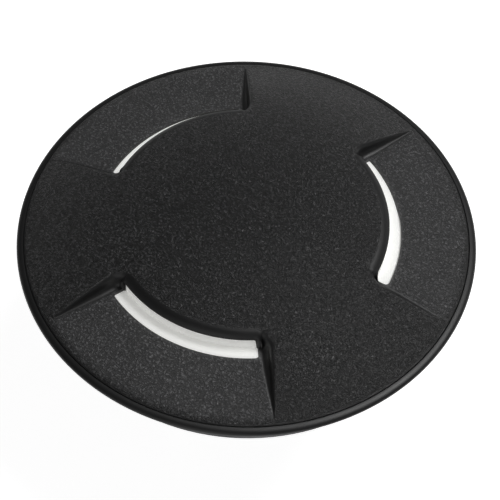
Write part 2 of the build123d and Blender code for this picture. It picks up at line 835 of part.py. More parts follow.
def gland_nut():
    """Domed hexagonal nut over the gland's seal."""
    top = hex_bottom - nut_land
    bottom = top - nut_length
    body = hexagon(bottom, top)
    corner = gland_across_flats / sqrt(3)
    dome = turned(
        (0, bottom),
        (nut_mouth + 1.4, bottom),
        (corner + 0.1, bottom + 3.6),
        (corner + 0.1, top),
        (0, top),
    )
    thread_end = hex_bottom - gland_spigot - 0.5
    bore = turned(
        (0, bottom - 1),
        (nut_mouth, bottom - 1),
        (nut_mouth, bottom + 0.6),
        (gland_thread, thread_end),
        (gland_thread, top + 1),
        (0, top + 1),
    )
    return (body & dome) - bore


nodes = [
    cover_casting,
    diffuser_ring,
    diffuser_gasket,
    lug_ring,
    lug_ring_screws,
    reflector_cone,
    reflector_screw,
    slip_washer,
    well_sleeve,
    module_body,
    hanger_screws,
    lens_seal,
    glass_lens,
    clamp_ring,
    clamp_screws,
    optic,
    emitters,
    emitter_board,
    board_screws,
    thermal_pad,
    red_lead,
    black_lead,
    driver_spacers,
    driver_board,
    driver_screws,
    choke,
    capacitors,
    bridge_block,
    base_cap,
    cap_ring,
    cap_screws,
    gland_washer_seal,
    gland_body,
    gland_seal,
    gland_nut,
]

for make in nodes:
    shape = make()
    if isinstance(shape, list):
        shape = Compound(shape)
    export_step(shape, f"parts/{make.__name__}.step")
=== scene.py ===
"""Looks of an in-ground well light: a black textured cover, three lit scoops and the well below."""

import json
import logging
import math
from collections.abc import Callable, Iterable
from dataclasses import dataclass
from enum import Enum

import bpy
import numpy as np
from mathutils import Matrix, Vector


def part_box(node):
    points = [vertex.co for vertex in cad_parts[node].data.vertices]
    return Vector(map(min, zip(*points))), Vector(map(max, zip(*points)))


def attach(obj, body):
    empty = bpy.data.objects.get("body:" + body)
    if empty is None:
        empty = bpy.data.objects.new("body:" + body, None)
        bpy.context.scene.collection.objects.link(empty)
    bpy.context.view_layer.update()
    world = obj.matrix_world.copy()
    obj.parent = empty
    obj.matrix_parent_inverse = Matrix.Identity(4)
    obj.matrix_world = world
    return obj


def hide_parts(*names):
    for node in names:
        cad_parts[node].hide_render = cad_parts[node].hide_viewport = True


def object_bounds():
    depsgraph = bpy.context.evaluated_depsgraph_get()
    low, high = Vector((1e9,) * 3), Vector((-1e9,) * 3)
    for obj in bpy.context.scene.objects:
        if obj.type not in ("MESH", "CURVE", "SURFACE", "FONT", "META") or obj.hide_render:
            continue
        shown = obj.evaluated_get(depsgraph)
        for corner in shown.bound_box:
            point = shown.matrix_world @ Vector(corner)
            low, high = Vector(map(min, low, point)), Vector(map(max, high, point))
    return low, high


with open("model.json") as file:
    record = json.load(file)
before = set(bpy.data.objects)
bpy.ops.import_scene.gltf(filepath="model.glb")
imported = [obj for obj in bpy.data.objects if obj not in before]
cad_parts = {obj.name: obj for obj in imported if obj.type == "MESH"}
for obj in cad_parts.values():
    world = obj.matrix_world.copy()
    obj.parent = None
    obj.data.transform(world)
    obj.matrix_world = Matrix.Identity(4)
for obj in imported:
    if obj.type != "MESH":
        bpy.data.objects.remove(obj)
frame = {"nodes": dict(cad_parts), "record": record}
cad_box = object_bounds()

log = logging.getLogger("well_light")
MM = 0.001
Colour = tuple[float, float, float, float]


def place_in_scene(name: str, data: bpy.types.ID) -> bpy.types.Object:
    """Put a mesh, a light or a camera into the scene.

    Args:
        name: the object's name.
        data: what it shows.

    Returns:
        The new object.
    """
    made = bpy.data.objects.new(name, data)
    bpy.context.scene.collection.objects.link(made)
    return made


# ---------------------------------------------------------------- shader wiring


class Wiring:
    """Adds nodes to one shader tree and joins them."""

    MIX_COLOUR_INPUTS = (0, 6, 7)
    MIX_COLOUR_OUTPUT = 2

    def __init__(self, tree: bpy.types.NodeTree) -> None:
        """Start with an empty tree.

        Args:
            tree: the node tree of a material, a world or a group.
        """
        self.tree = tree
        tree.nodes.clear()

    def node(
        self,
        kind: str,
        inputs: dict | None = None,
        **settings: object,
    ) -> bpy.types.Node:
        """Add a node.

        Args:
            kind: the node's Blender type, without its ShaderNode prefix.
            inputs: values or sockets for its inputs, by name or index.
            settings: attributes to set on the node.

        Returns:
            The new node.
        """
        made = self.tree.nodes.new("ShaderNode" + kind)
        for name, value in settings.items():
            setattr(made, name, value)
        for name, value in (inputs or {}).items():
            self.feed(made.inputs[name], value)
        return made

    def feed(self, socket: bpy.types.NodeSocket, value: object) -> None:
        """Join another socket to this one, or set its value.

        Args:
            socket: the input socket.
            value: an output socket, a number or a colour.
        """
        if isinstance(value, bpy.types.NodeSocket):
            self.tree.links.new(value, socket)
        else:
            socket.default_value = value

    def compute(
        self, operation: str, first: object, second: object = 0.0, clamp: bool = False
    ) -> bpy.types.NodeSocket:
        """Add a Math node and return its output.

        Args:
            operation: the Math node's operation.
            first: its first value or socket.
            second: its second value or socket.
            clamp: whether the result is kept from 0 to 1.

        Returns:
            The result's socket.
        """
        made = self.node("Math", {0: first, 1: second}, operation=operation, use_clamp=clamp)
        return made.outputs[0]

    def remap(
        self, value: object, low: float, high: float, to_low: float = 0.0, to_high: float = 1.0
    ) -> bpy.types.NodeSocket:
        """Map a value smoothly from one range to another.

        Args:
            value: the socket to map.
            low: start of its range.
            high: end of its range.
            to_low: result at low and below.
            to_high: result at high and above.

        Returns:
            The result's socket.
        """
        made = self.node(
            "MapRange",
            {0: value, 1: low, 2: high, 3: to_low, 4: to_high},
            interpolation_type="SMOOTHSTEP",
        )
        return made.outputs[0]

    def place(self) -> bpy.types.NodeSocket:
        """Where a point lies on its piece."""
        return self.node("TexCoord").outputs["Object"]

    def noise(
        self, place: object, scale: object, detail: float, roughness: float = 0.5
    ) -> bpy.types.NodeSocket:
        """Add a noise texture.

        Args:
            place: the socket with the place that it is read at.
            scale: how fine it is, a number or a socket.
            detail: how many finer layers it has.
            roughness: how strong the finer layers are.

        Returns:
            Its value's socket.
        """
        values = {"Vector": place, "Scale": scale, "Detail": detail, "Roughness": roughness}
        return self.node("TexNoise", values).outputs[0]

    def vector(self, operation: str, *values: object) -> bpy.types.NodeSocket:
        """Add a Vector Math node and return its vector."""
        return self.node("VectorMath", dict(enumerate(values)), operation=operation).outputs[0]

    def bump(
        self, height: object, depth: float, under: bpy.types.NodeSocket | None = None
    ) -> bpy.types.NodeSocket:
        """Add a bump.

        Args:
            height: the socket of its height, from 0 to 1.
            depth: how high 1 stands, in millimetres.
            under: the normal of a coarser bump that it lies on.

        Returns:
            The normal's socket.
        """
        made = self.node("Bump", {"Height": height, "Distance": depth * MM, "Strength": 1.0})
        if under is not None:
            self.feed(made.inputs["Normal"], under)
        return made.outputs[0]

    def blend(self, factor: object, first: object, second: object) -> bpy.types.NodeSocket:
        """Mix two colours.

        Args:
            factor: share of the second colour.
            first: first colour or socket.
            second: second colour or socket.

        Returns:
            The mixed colour's socket.
        """
        made = self.node("Mix", data_type="RGBA")
        share, first_colour, second_colour = (made.inputs[index] for index in self.MIX_COLOUR_INPUTS)
        self.feed(share, factor)
        self.feed(first_colour, first)
        self.feed(second_colour, second)
        return made.outputs[self.MIX_COLOUR_OUTPUT]


class Effect(Enum):
    """Surface effects that several finishes share, each one shader node group."""

    WRINKLE = "wrinkle_grain"
    GRAIN = "moulded_grain"
    CLOUDS = "cloudy_tone"
    WEAR = "worn_edges"
    DUST = "settled_dust"
    TURNING = "turning_marks"


class EffectLibrary:
    """Builds each shared effect once and hands it to the finishes."""

    DRIFT_SCALE = 0.45
    DRIFT_MIDDLE = (0.5, 0.5, 0.5)
    DRIFT_PULL = (2.2, 2.2, 2.2)
    LUMP_RANGE = (0.05, 0.62)
    LUMP_SOFTNESS = 0.35
    LUMP_SHARE = 0.6
    RIDGE_SCALE = 1.6
    RIDGE_WIDTH = 0.16
    RIDGE_SHARE = 0.4
    # heights of the wrinkles' tops that get the painted glint
    PAINTED_GLINT_RANGE = (0.38, 0.78)
    CLOUD_RANGE = (0.3, 0.7)
    EDGE_RANGE = (0.80, 0.995)
    EDGE_PATCH_SCALE = 700.0
    EDGE_PATCH_RANGE = (0.35, 0.65)
    EDGE_PATCH_LEAST = 0.2
    DUST_SLOPE_RANGE = (0.3, 1.0)
    DUST_SCALE = 900.0
    DUST_RANGE = (0.35, 0.75)

    def __init__(self) -> None:
        """Build the shared groups."""
        makers: dict[Effect, Callable[[], bpy.types.NodeTree]] = {
            Effect.WRINKLE: self._wrinkle,
            Effect.GRAIN: self._grain,
            Effect.CLOUDS: self._clouds,
            Effect.WEAR: self._wear,
            Effect.DUST: self._dust,
            Effect.TURNING: self._turning,
        }
        self.groups = {effect: make() for effect, make in makers.items()}

    def place(self, wiring: Wiring, effect: Effect, values: dict) -> bpy.types.Node:
        """Put an effect into a material.

        Args:
            wiring: the material's wiring.
            effect: which effect.
            values: values or sockets for the group's inputs.

        Returns:
            The group's node.
        """
        made = wiring.node("Group", node_tree=self.groups[effect])
        for name, value in values.items():
            wiring.feed(made.inputs[name], value)
        return made

    def _group(
        self, effect: Effect, inputs: dict[str, float], outputs: Iterable[str]
    ) -> tuple[Wiring, bpy.types.Node, bpy.types.Node]:
        """Start a group.

        Args:
            effect: the effect that it makes.
            inputs: its number inputs, with their usual values.
            outputs: its number outputs.

        Returns:
            Its wiring, and its input and output nodes.
        """
        tree = bpy.data.node_groups.new(effect.value, "ShaderNodeTree")
        for name, value in inputs.items():
            socket = tree.interface.new_socket(name, in_out="INPUT", socket_type="NodeSocketFloat")
            socket.default_value = value
        for name in outputs:
            tree.interface.new_socket(name, in_out="OUTPUT", socket_type="NodeSocketFloat")
        wiring = Wiring(tree)
        given = tree.nodes.new("NodeGroupInput")
        result = tree.nodes.new("NodeGroupOutput")
        return wiring, given, result

    def _wrinkle(self) -> bpy.types.NodeTree:
        """Short raised wrinkles, packed close and lying mostly one way, with a mask of their tops for a
        painted glint.

        Returns:
            The group's tree.
        """
        usual = {"Scale": 1.0, "Stretch": 0.5, "Lean": 0.6}
        wiring, given, result = self._group(Effect.WRINKLE, usual, ["Height", "Painted Glint"])
        turn = wiring.node("CombineXYZ", {"Z": given.outputs["Lean"]}).outputs[0]
        size = wiring.node("CombineXYZ", {axis: given.outputs["Scale"] for axis in "XYZ"}).outputs[0]
        flat = wiring.node("Mapping", {"Vector": wiring.place(), "Rotation": turn, "Scale": size}).outputs[0]
        drift = wiring.node("TexNoise", {"Vector": flat, "Scale": self.DRIFT_SCALE, "Detail": 1.0})
        pull = wiring.vector("SUBTRACT", drift.outputs["Color"], self.DRIFT_MIDDLE)
        warped = wiring.vector("MULTIPLY_ADD", pull, self.DRIFT_PULL, flat)
        squeeze = wiring.node("CombineXYZ", {"X": given.outputs["Stretch"], "Y": 1.0, "Z": 1.0})
        drawn = wiring.vector("MULTIPLY", warped, squeeze.outputs[0])
        cells = wiring.node(
            "TexVoronoi",
            {"Vector": drawn, "Scale": 1.0, "Smoothness": self.LUMP_SOFTNESS},
            feature="SMOOTH_F1",
        ).outputs["Distance"]
        lumps = wiring.remap(cells, *self.LUMP_RANGE, 1.0, 0.0)
        ripple = wiring.noise(drawn, self.RIDGE_SCALE, 2.0, 0.6)
        off = wiring.compute("ABSOLUTE", wiring.compute("SUBTRACT", ripple, 0.5))
        ridges = wiring.remap(off, 0.0, self.RIDGE_WIDTH, 1.0, 0.0)
        lumps = wiring.compute("MULTIPLY", lumps, self.LUMP_SHARE)
        height = wiring.compute("ADD", lumps, wiring.compute("MULTIPLY", ridges, self.RIDGE_SHARE))
        wiring.feed(result.inputs["Height"], height)
        # mask of the wrinkles' tops for the painted glint
        wiring.feed(result.inputs["Painted Glint"], wiring.remap(height, *self.PAINTED_GLINT_RANGE))
        return wiring.tree

    def _grain(self) -> bpy.types.NodeTree:
        """Fine even grain of a moulding, a casting or a blasted face.

        Returns:
            The group's tree.
        """
        wiring, given, result = self._group(Effect.GRAIN, {"Scale": 2.0}, ["Height"])
        fine = wiring.noise(wiring.place(), given.outputs["Scale"], 3.0, 0.6)
        wiring.feed(result.inputs["Height"], fine)
        return wiring.tree

    def _clouds(self) -> bpy.types.NodeTree:
        """Slow change of tone over a surface.

        Returns:
            The group's tree.
        """
        wiring, given, result = self._group(Effect.CLOUDS, {"Scale": 60.0}, ["Mask"])
        slow = wiring.noise(wiring.place(), given.outputs["Scale"], 4.0, 0.55)
        wiring.feed(result.inputs["Mask"], wiring.remap(slow, *self.CLOUD_RANGE))
        return wiring.tree

    def _wear(self) -> bpy.types.NodeTree:
        """Where outer edges are rubbed: the face's own normal leaves the rounded one.

        Returns:
            The group's tree.
        """
        wiring, given, result = self._group(Effect.WEAR, {"Radius": 0.0004, "Amount": 1.0}, ["Mask"])
        rounded = wiring.node("Bevel", {"Radius": given.outputs["Radius"]}, samples=6).outputs[0]
        own = wiring.node("NewGeometry").outputs["Normal"]
        match = wiring.node("VectorMath", {0: rounded, 1: own}, operation="DOT_PRODUCT").outputs["Value"]
        edge = wiring.remap(match, *self.EDGE_RANGE, 1.0, 0.0)
        broken = wiring.noise(wiring.place(), self.EDGE_PATCH_SCALE, 3.0)
        broken = wiring.remap(broken, *self.EDGE_PATCH_RANGE, self.EDGE_PATCH_LEAST)
        patchy = wiring.compute("MULTIPLY", edge, broken)
        wiring.feed(result.inputs["Mask"], wiring.compute("MULTIPLY", patchy, given.outputs["Amount"], True))
        return wiring.tree

    def _dust(self) -> bpy.types.NodeTree:
        """Thin dust on faces that look up.

        Returns:
            The group's tree.
        """
        wiring, given, result = self._group(Effect.DUST, {"Amount": 0.2}, ["Mask"])
        normal = wiring.node("NewGeometry").outputs["Normal"]
        up = wiring.node("SeparateXYZ", {0: normal}).outputs["Z"]
        level = wiring.remap(up, *self.DUST_SLOPE_RANGE)
        speckle = wiring.noise(wiring.place(), self.DUST_SCALE, 4.0, 0.7)
        lying = wiring.compute("MULTIPLY", level, wiring.remap(speckle, *self.DUST_RANGE))
        wiring.feed(result.inputs["Mask"], wiring.compute("MULTIPLY", lying, given.outputs["Amount"], True))
        return wiring.tree

    def _turning(self) -> bpy.types.NodeTree:
        """Fine rings of a turned or spun face, round the light's axis.

        Returns:
            The group's tree.
        """
        wiring, given, result = self._group(Effect.TURNING, {"Scale": 2500.0}, ["Height"])
        place = wiring.place()
        flat = wiring.vector("MULTIPLY", place, (1.0, 1.0, 0.0))
        radius = wiring.node("VectorMath", {0: flat}, operation="LENGTH").outputs["Value"]
        rise = wiring.node("SeparateXYZ", {0: place}).outputs["Z"]
        way = wiring.compute("ADD", radius, rise)
        rings = wiring.node(
            "TexNoise",
            {"W": wiring.compute("MULTIPLY", way, given.outputs["Scale"]), "Scale": 1.0, "Detail": 2.0},
            noise_dimensions="1D",
        ).outputs[0]
        wiring.feed(result.inputs["Height"], rings)
        return wiring.tree


# ---------------------------------------------------------------- finishes


def recorded_colour(slot: str) -> Colour:
    """Colour that the record gives a material slot.

    Args:
        slot: the record's name for it.

    Returns:
        Red, green, blue and an alpha of 1.
    """
    for material in frame["record"]["materials"]:
        if material["slot"] == slot:
            red, green, blue = material["base_color"][:3]
            return red, green, blue, 1.0
    raise KeyError(slot)


def new_material(name: str) -> tuple[bpy.types.Material, Wiring]:
    """Start a material.

    Args:
        name: its name.

    Returns:
        The material and its wiring.
    """
    made = bpy.data.materials.new(name)
    made.use_nodes = True
    return made, Wiring(made.node_tree)


def shaded(colour: Colour, factor: float) -> Colour:
    """A colour made darker or lighter."""
    return (*(min(1.0, channel * factor) for channel in colour[:3]), 1.0)


@dataclass(frozen=True)
class Finish:
    """A plain solid finish: clouded colour, grain, rubbed edges and a little dust."""

    slot: str
    roughness: float = 0.5
    roughness_spread: float = 0.12
    metallic: float = 0.0
    tone_spread: float = 0.18
    tone_scale: float = 90.0
    grain_effect: Effect = Effect.GRAIN
    grain_scale: float = 2600.0
    grain_height: float = 0.02
    wear: float = 0.4
    wear_lightness: float = 1.7
    dust: float = 0.15
    dust_colour: Colour = (0.36, 0.34, 0.31, 1.0)
    dust_roughness: float = 0.3
    specular: float = 0.5

    def material(self, effects: EffectLibrary) -> bpy.types.Material:
        """Build the material.

        Args:
            effects: the shared effects.

        Returns:
            The new material.
        """
        made, wiring = new_material(self.slot)
        skin = wiring.node("BsdfPrincipled")
        base = recorded_colour(self.slot)
        clouds = effects.place(wiring, Effect.CLOUDS, {"Scale": self.tone_scale}).outputs["Mask"]
        colour = wiring.blend(
            clouds, shaded(base, 1.0 - self.tone_spread), shaded(base, 1.0 + self.tone_spread)
        )
        worn = effects.place(wiring, Effect.WEAR, {"Amount": self.wear}).outputs["Mask"]
        colour = wiring.blend(worn, colour, shaded(base, self.wear_lightness))
        dusty = effects.place(wiring, Effect.DUST, {"Amount": self.dust}).outputs["Mask"]
        colour = wiring.blend(dusty, colour, self.dust_colour)
        wiring.feed(skin.inputs["Base Color"], colour)
        rough = wiring.remap(
            clouds, 0.0, 1.0, self.roughness - self.roughness_spread, self.roughness + self.roughness_spread
        )
        rough = wiring.compute("ADD", rough, wiring.compute("MULTIPLY", dusty, self.dust_roughness), True)
        wiring.feed(skin.inputs["Roughness"], rough)
        grain = effects.place(wiring, self.grain_effect, {"Scale": self.grain_scale}).outputs["Height"]
        wiring.feed(skin.inputs["Normal"], wiring.bump(grain, self.grain_height))
        skin.inputs["Metallic"].default_value = self.metallic
        skin.inputs["Specular IOR Level"].default_value = self.specular
        self.extra(skin)
        wiring.node("OutputMaterial", {"Surface": skin.outputs[0]})
        return made

    def extra(self, skin: bpy.types.Node) -> None:
        """Set what only some finishes set."""


@dataclass(frozen=True)
class SeeThrough(Finish):
    """Glass or clear moulding: as a plain finish, and light goes through it."""

    transmission: float = 1.0
    ior: float = 1.5

    def extra(self, skin: bpy.types.Node) -> None:
        """Let light through."""
        skin.inputs["Transmission Weight"].default_value = self.transmission
        skin.inputs["IOR"].default_value = self.ior


@dataclass(frozen=True)
class Frosted(Finish):
    """White acrylic that scatters the light inside it, with a weak painted glow standing in for light falling
    on its windows.
    """

    scatter: float = 0.6
    depth: float = 1.5
    # painted glow: emission that brightens the diffuser in place of light falling on it
    painted_glow: float = 0.27
    painted_glow_colour: Colour = (1.0, 0.99, 0.96, 1.0)

    def extra(self, skin: bpy.types.Node) -> None:
        """Scatter light under the surface, and add the painted glow.

        Args:
            skin: the material's main shader.
        """
        skin.inputs["Subsurface Weight"].default_value = self.scatter
        skin.inputs["Subsurface Radius"].default_value = (1.0, 1.0, 1.0)
        skin.inputs["Subsurface Scale"].default_value = self.depth * MM
        # painted glow: emission standing in for light on the windows
        skin.inputs["Emission Color"].default_value = self.painted_glow_colour
        skin.inputs["Emission Strength"].default_value = self.painted_glow


@dataclass(frozen=True)
class PowderCoat:
    """Black wrinkle powder coat: grain on the open faces with a painted glint on the wrinkles' tops, paler in
    the scoops, smooth on edges and walls.
    """

    slot: str = "powder_coat"
    face: Colour = (0.0010, 0.0010, 0.0010, 1.0)
    # painted glint: lighter colour on the wrinkles' tops standing in for highlights
    painted_glint: Colour = (0.0440, 0.0440, 0.0455, 1.0)
    smooth: Colour = (0.0050, 0.0050, 0.0052, 1.0)
    # lighter colour on the scoops' floors
    scoop_face: Colour = (0.034, 0.034, 0.0347, 1.0)
    # painted glint on the wrinkles' tops in the scoops
    scoop_painted_glint: Colour = (0.115, 0.115, 0.118, 1.0)
    roughness: float = 0.40
    smooth_roughness: float = 0.42
    grain_scale: float = 1800.0
    grain_stretch: float = 0.7
    grain_lean: float = 0.65
    grain_height: float = 0.20
    fine_scale: float = 5200.0
    fine_height: float = 0.012
    cloud_scale: float = 45.0
    cloud_tone: float = 0.15
    cloud_roughness: float = 0.06
    wear: float = 0.25
    wear_radius: float = 0.0003
    wear_lightness: float = 2.0
    specular: float = 0.5

    def material(self, effects: EffectLibrary) -> bpy.types.Material:
        """Build the material.

        Args:
            effects: the shared effects.

        Returns:
            The new material.
        """
        made, wiring = new_material(self.slot)
        skin = wiring.node("BsdfPrincipled")
        open_face = wiring.node("Attribute", attribute_name=CoverShell.GRAIN_ATTRIBUTE).outputs["Fac"]
        wrinkle = effects.place(
            wiring,
            Effect.WRINKLE,
            {"Scale": self.grain_scale, "Stretch": self.grain_stretch, "Lean": self.grain_lean},
        )
        clouds = effects.place(wiring, Effect.CLOUDS, {"Scale": self.cloud_scale}).outputs["Mask"]
        # painted glint: the wrinkles' tops are coloured lighter in place of highlights
        painted_glint_mask = wiring.compute("MULTIPLY", wrinkle.outputs["Painted Glint"], open_face)
        colour = wiring.blend(open_face, self.smooth, self.face)
        colour = wiring.blend(painted_glint_mask, colour, self.painted_glint)
        scoop = wiring.node("Attribute", attribute_name=CoverShell.SCOOP_ATTRIBUTE).outputs["Fac"]
        # scoop floors: lighter colour, with the painted glint on the wrinkles' tops
        paler = wiring.blend(wrinkle.outputs["Painted Glint"], self.scoop_face, self.scoop_painted_glint)
        colour = wiring.blend(scoop, colour, paler)
        colour = wiring.blend(wiring.compute("MULTIPLY", clouds, self.cloud_tone), colour, self.smooth)
        worn = effects.place(wiring, Effect.WEAR, {"Amount": self.wear, "Radius": self.wear_radius})
        colour = wiring.blend(worn.outputs["Mask"], colour, shaded(self.smooth, self.wear_lightness))
        wiring.feed(skin.inputs["Base Color"], colour)
        rough = wiring.remap(open_face, 0.0, 1.0, self.smooth_roughness, self.roughness)
        rough = wiring.compute("ADD", rough, wiring.compute("MULTIPLY", clouds, self.cloud_roughness))
        wiring.feed(skin.inputs["Roughness"], rough)
        raised = wiring.compute("MULTIPLY", wrinkle.outputs["Height"], open_face)
        coarse = wiring.bump(raised, self.grain_height)
        grain = effects.place(wiring, Effect.GRAIN, {"Scale": self.fine_scale}).outputs["Height"]
        wiring.feed(skin.inputs["Normal"], wiring.bump(grain, self.fine_height, coarse))
        skin.inputs["Specular IOR Level"].default_value = self.specular
        wiring.node("OutputMaterial", {"Surface": skin.outputs[0]})
        return made


FINISHES: tuple[Finish, ...] = (
    Frosted("frosted_acrylic", roughness=0.42, tone_spread=0.03, tone_scale=40.0, wear=0.0, dust=0.05),
    Finish("grey_silicone", roughness=0.72, tone_spread=0.08, grain_height=0.008, wear=0.15),
    Finish("black_nylon", roughness=0.48, grain_scale=3200.0, grain_height=0.03, wear=0.5),
    Finish(
        "stainless", roughness=0.26, metallic=1.0, tone_spread=0.08, grain_effect=Effect.TURNING,
        grain_scale=5200.0, grain_height=0.004, wear=0.35, wear_lightness=1.3, dust=0.05,
    ),
    Finish(
        "spun_reflector", roughness=0.16, roughness_spread=0.05, metallic=1.0, tone_spread=0.04,
        grain_effect=Effect.TURNING, grain_scale=2600.0, grain_height=0.004, wear=0.2,
        wear_lightness=1.1, dust=0.04,
    ),
    Finish("slip_plastic", roughness=0.38, tone_spread=0.05, grain_height=0.006, wear=0.1, dust=0.1),
    Finish(
        "sleeve_plastic", roughness=0.55, grain_scale=1900.0, grain_height=0.045, wear=0.6,
        tone_spread=0.22, tone_scale=55.0, dust=0.22,
    ),
    Finish(
        "cast_aluminium", roughness=0.44, metallic=1.0, grain_scale=1700.0, grain_height=0.03,
        tone_spread=0.12, wear=0.5, wear_lightness=1.4, dust=0.1,
    ),
    SeeThrough(
        "toughened_glass", roughness=0.04, roughness_spread=0.02, tone_spread=0.02, grain_height=0.001,
        wear=0.0, dust=0.02,
    ),
    SeeThrough(
        "clear_optic", roughness=0.06, roughness_spread=0.03, tone_spread=0.02, grain_height=0.001,
        wear=0.0, dust=0.02, ior=1.49,
    ),
    Finish("phosphor", roughness=0.3, tone_spread=0.06, grain_scale=6000.0, grain_height=0.01, wear=0.0),
    Finish("white_board", roughness=0.35, tone_spread=0.04, grain_height=0.004, wear=0.1, dust=0.05),
    Finish("green_board", roughness=0.32, tone_spread=0.15, grain_height=0.006, wear=0.2, dust=0.05),
    Finish("thermal_compound", roughness=0.8, tone_spread=0.1, grain_height=0.01, wear=0.0),
    Finish("red_insulation", roughness=0.45, tone_spread=0.1, grain_height=0.004, wear=0.1),
    Finish("black_insulation", roughness=0.45, tone_spread=0.1, grain_height=0.004, wear=0.1),
    Finish(
        "copper_winding", roughness=0.3, metallic=0.9, grain_effect=Effect.TURNING, grain_scale=9000.0,
        grain_height=0.02, wear=0.0,
    ),
    Finish("can_sleeve", roughness=0.25, tone_spread=0.08, grain_height=0.002, wear=0.2),
    Finish("black_epoxy", roughness=0.6, grain_height=0.01, wear=0.2),
    Finish("black_rubber", roughness=0.75, grain_scale=2200.0, grain_height=0.02, wear=0.2),
)


# ---------------------------------------------------------------- cover


@dataclass(frozen=True)
class SlotPlan:
    """Plan of the rings across the slots: each one's X and Y by its radius, and the cells left open."""

    rings: dict[float, tuple[np.ndarray, np.ndarray]]
    open_cells: np.ndarray


@dataclass
class CoverShell:
    """The domed casting as a fine closed mesh, with rolled lips and rounded scoop walls.

    Lengths are in millimetres and angles in degrees, as the light is drawn. The rim's radius, the crown's
    height and the middle boss's height are the drawn casting's own.
    """

    GRAIN_ATTRIBUTE = "open_face"
    SCOOP_ATTRIBUTE = "scoop_floor"

    rim_band: float = 2.0
    rim_band_height: float = 1.0
    crease_step: float = 0.12
    crease_groove: float = 0.3
    crease_groove_depth: float = 0.2
    wall: float = 2.0
    floor_height: float = 2.75
    floor_thickness: float = 4.55
    scoop_count: int = 3
    scoop_azimuth: float = 5.1
    scoop_half_angle: float = 33.0
    scoop_corner: float = 2.5
    scoop_draft: float = 12.0
    scoop_foot: float = 1.6
    scoop_shoulder: float = 1.7
    foot_share: float = 0.55
    shoulder_share: float = 0.42
    least_rise: float = 0.00001
    outline_level: float = 1.0
    runout_radius: float = 53.5
    runout_blend: float = 0.3
    lip_roll: float = 2.2
    lip_height: float = 5.85
    lip_end: float = 30.4
    lip_fade: float = 32.2
    slot_inner_radius: float = 35.0
    slot_outer_radius: float = 38.1
    slot_half_angle: float = 30.8
    slot_corner: float = 1.0
    window_top: float = 5.65
    window_inner_radius: float = 31.5
    plate_radius: float = 50.4
    pocket_radius: float = 49.0
    boss_radius: float = 3.4
    boss_circle: float = 42.1
    centre_boss_radius: float = 4.2
    rib_half: float = 0.7
    rib_azimuth: float = 16.0
    rib_inner_radius: float = 30.5
    hollow_draft: float = 0.8
    least_shell: float = 0.2

    # Where the coat's grain and the scoops' paler tone fade out.
    floor_grain_margin: float = 0.1
    floor_grain_fade: float = 0.5
    slot_grain_margin: float = 0.3
    slot_grain_fade: float = 0.6
    shoulder_grain_share: float = 0.35
    lip_grain_margin: float = 0.3
    dome_grain_fade: float = 0.7
    runout_grain_fade: float = 1.5
    rim_grain_margin: float = 0.1
    rim_grain_fade: float = 0.4
    scoop_tone_margin: float = 0.2
    scoop_tone_fade: float = 0.8
    scoop_tone_reach: float = 1.0

    # How fine the mesh is. The columns are even in the middle and drawn to the side walls further out: each
    # band of wall_columns has its start and end past the scoop's side, and its count. In thinning, rings
    # outside each radius have all the points, a half, a quarter and so on.
    columns: int = 300
    middle_columns: int = 131
    wall_columns: tuple[tuple[float, float, int], ...] = ((-4.2, -1.5, 9), (-1.5, 2.4, 26), (2.4, 3.6, 4))
    wall_columns_radius: float = 12.0
    drawn_start: float = 27.0
    drawn_run: float = 4.0
    thinning: tuple[tuple[float, int], ...] = ((27.0, 1), (13.5, 2), (6.5, 4), (2.0, 12))
    middle_thinning: int = 36
    first_ring: float = 0.6
    ring_step: float = 0.35
    fine_step: float = 0.2
    fine_reach: float = 2.0
    under_step: float = 0.9
    band_rings: int = 12
    plate_step: float = 0.02
    rim_under_step: float = 1.5
    edge_slack: float = 0.0001
    sharp_angle: float = 38.0

    def __post_init__(self) -> None:
        """Take the outer sizes from the frame and work out the dome, the scoops' floors and the lips."""
        low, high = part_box("cover_casting")
        self.rim_radius = high.x / MM
        self.crown_height = high.z / MM
        self.centre_boss_height = low.z / MM
        self.crease_radius = self.rim_radius - self.rim_band
        self.crease_height = self.rim_band_height + self.crease_step
        rise = self.crown_height - self.crease_height
        self.sphere = (self.crease_radius**2 + rise**2) / (2 * rise)
        self.plate_bottom = self.floor_height - self.floor_thickness
        self.slope = (self.dome(np.float64(self.runout_radius)) - self.floor_height) / (
            self.runout_radius - self.slot_outer_radius
        )
        roll_start = self.slot_inner_radius - self.lip_roll
        fall = float(self.dome(np.float64(roll_start))) - self.lip_height
        self.roll_tilt = math.asin(roll_start / self.sphere)
        chord = math.hypot(self.lip_roll, fall)
        self.roll_radius = chord / (2 * math.sin(math.atan2(fall, self.lip_roll) - self.roll_tilt))
        self.slot_plan = self.slot_layout()

    # ---- heights

    @staticmethod
    def fade(distance: np.ndarray, width: float) -> np.ndarray:
        """Share that grows evenly from 0 at no distance to 1 at a width."""
        return np.clip(distance / width, 0, 1)

    def dome(self, radius: np.ndarray) -> np.ndarray:
        """Height of the dome."""
        within = np.minimum(radius, self.rim_radius)
        return self.crown_height - self.sphere + np.sqrt(self.sphere**2 - within**2)

    def floor(self, radius: np.ndarray) -> np.ndarray:
        """Height of a scoop's floor, which runs softly into the dome.

        Args:
            radius: distance from the axis.

        Returns:
            The height.
        """
        plain = self.floor_height + self.slope * (radius - self.slot_outer_radius)
        dome = self.dome(radius)
        near = np.maximum(self.runout_blend - np.abs(plain - dome), 0) / self.runout_blend
        return np.minimum(plain, dome) - near**2 * self.runout_blend / 4

    def scoop_place(self, x: np.ndarray, y: np.ndarray) -> tuple[np.ndarray, np.ndarray]:
        """Where points lie in the nearest scoop.

        Args:
            x: X of the points.
            y: Y of the points.

        Returns:
            Their radius, and their angle from the scoop's middle in radians.
        """
        step = 2 * math.pi / self.scoop_count
        angle = np.arctan2(y, x) - math.radians(self.scoop_azimuth) + step / 2
        return np.hypot(x, y), np.mod(angle, step) - step / 2

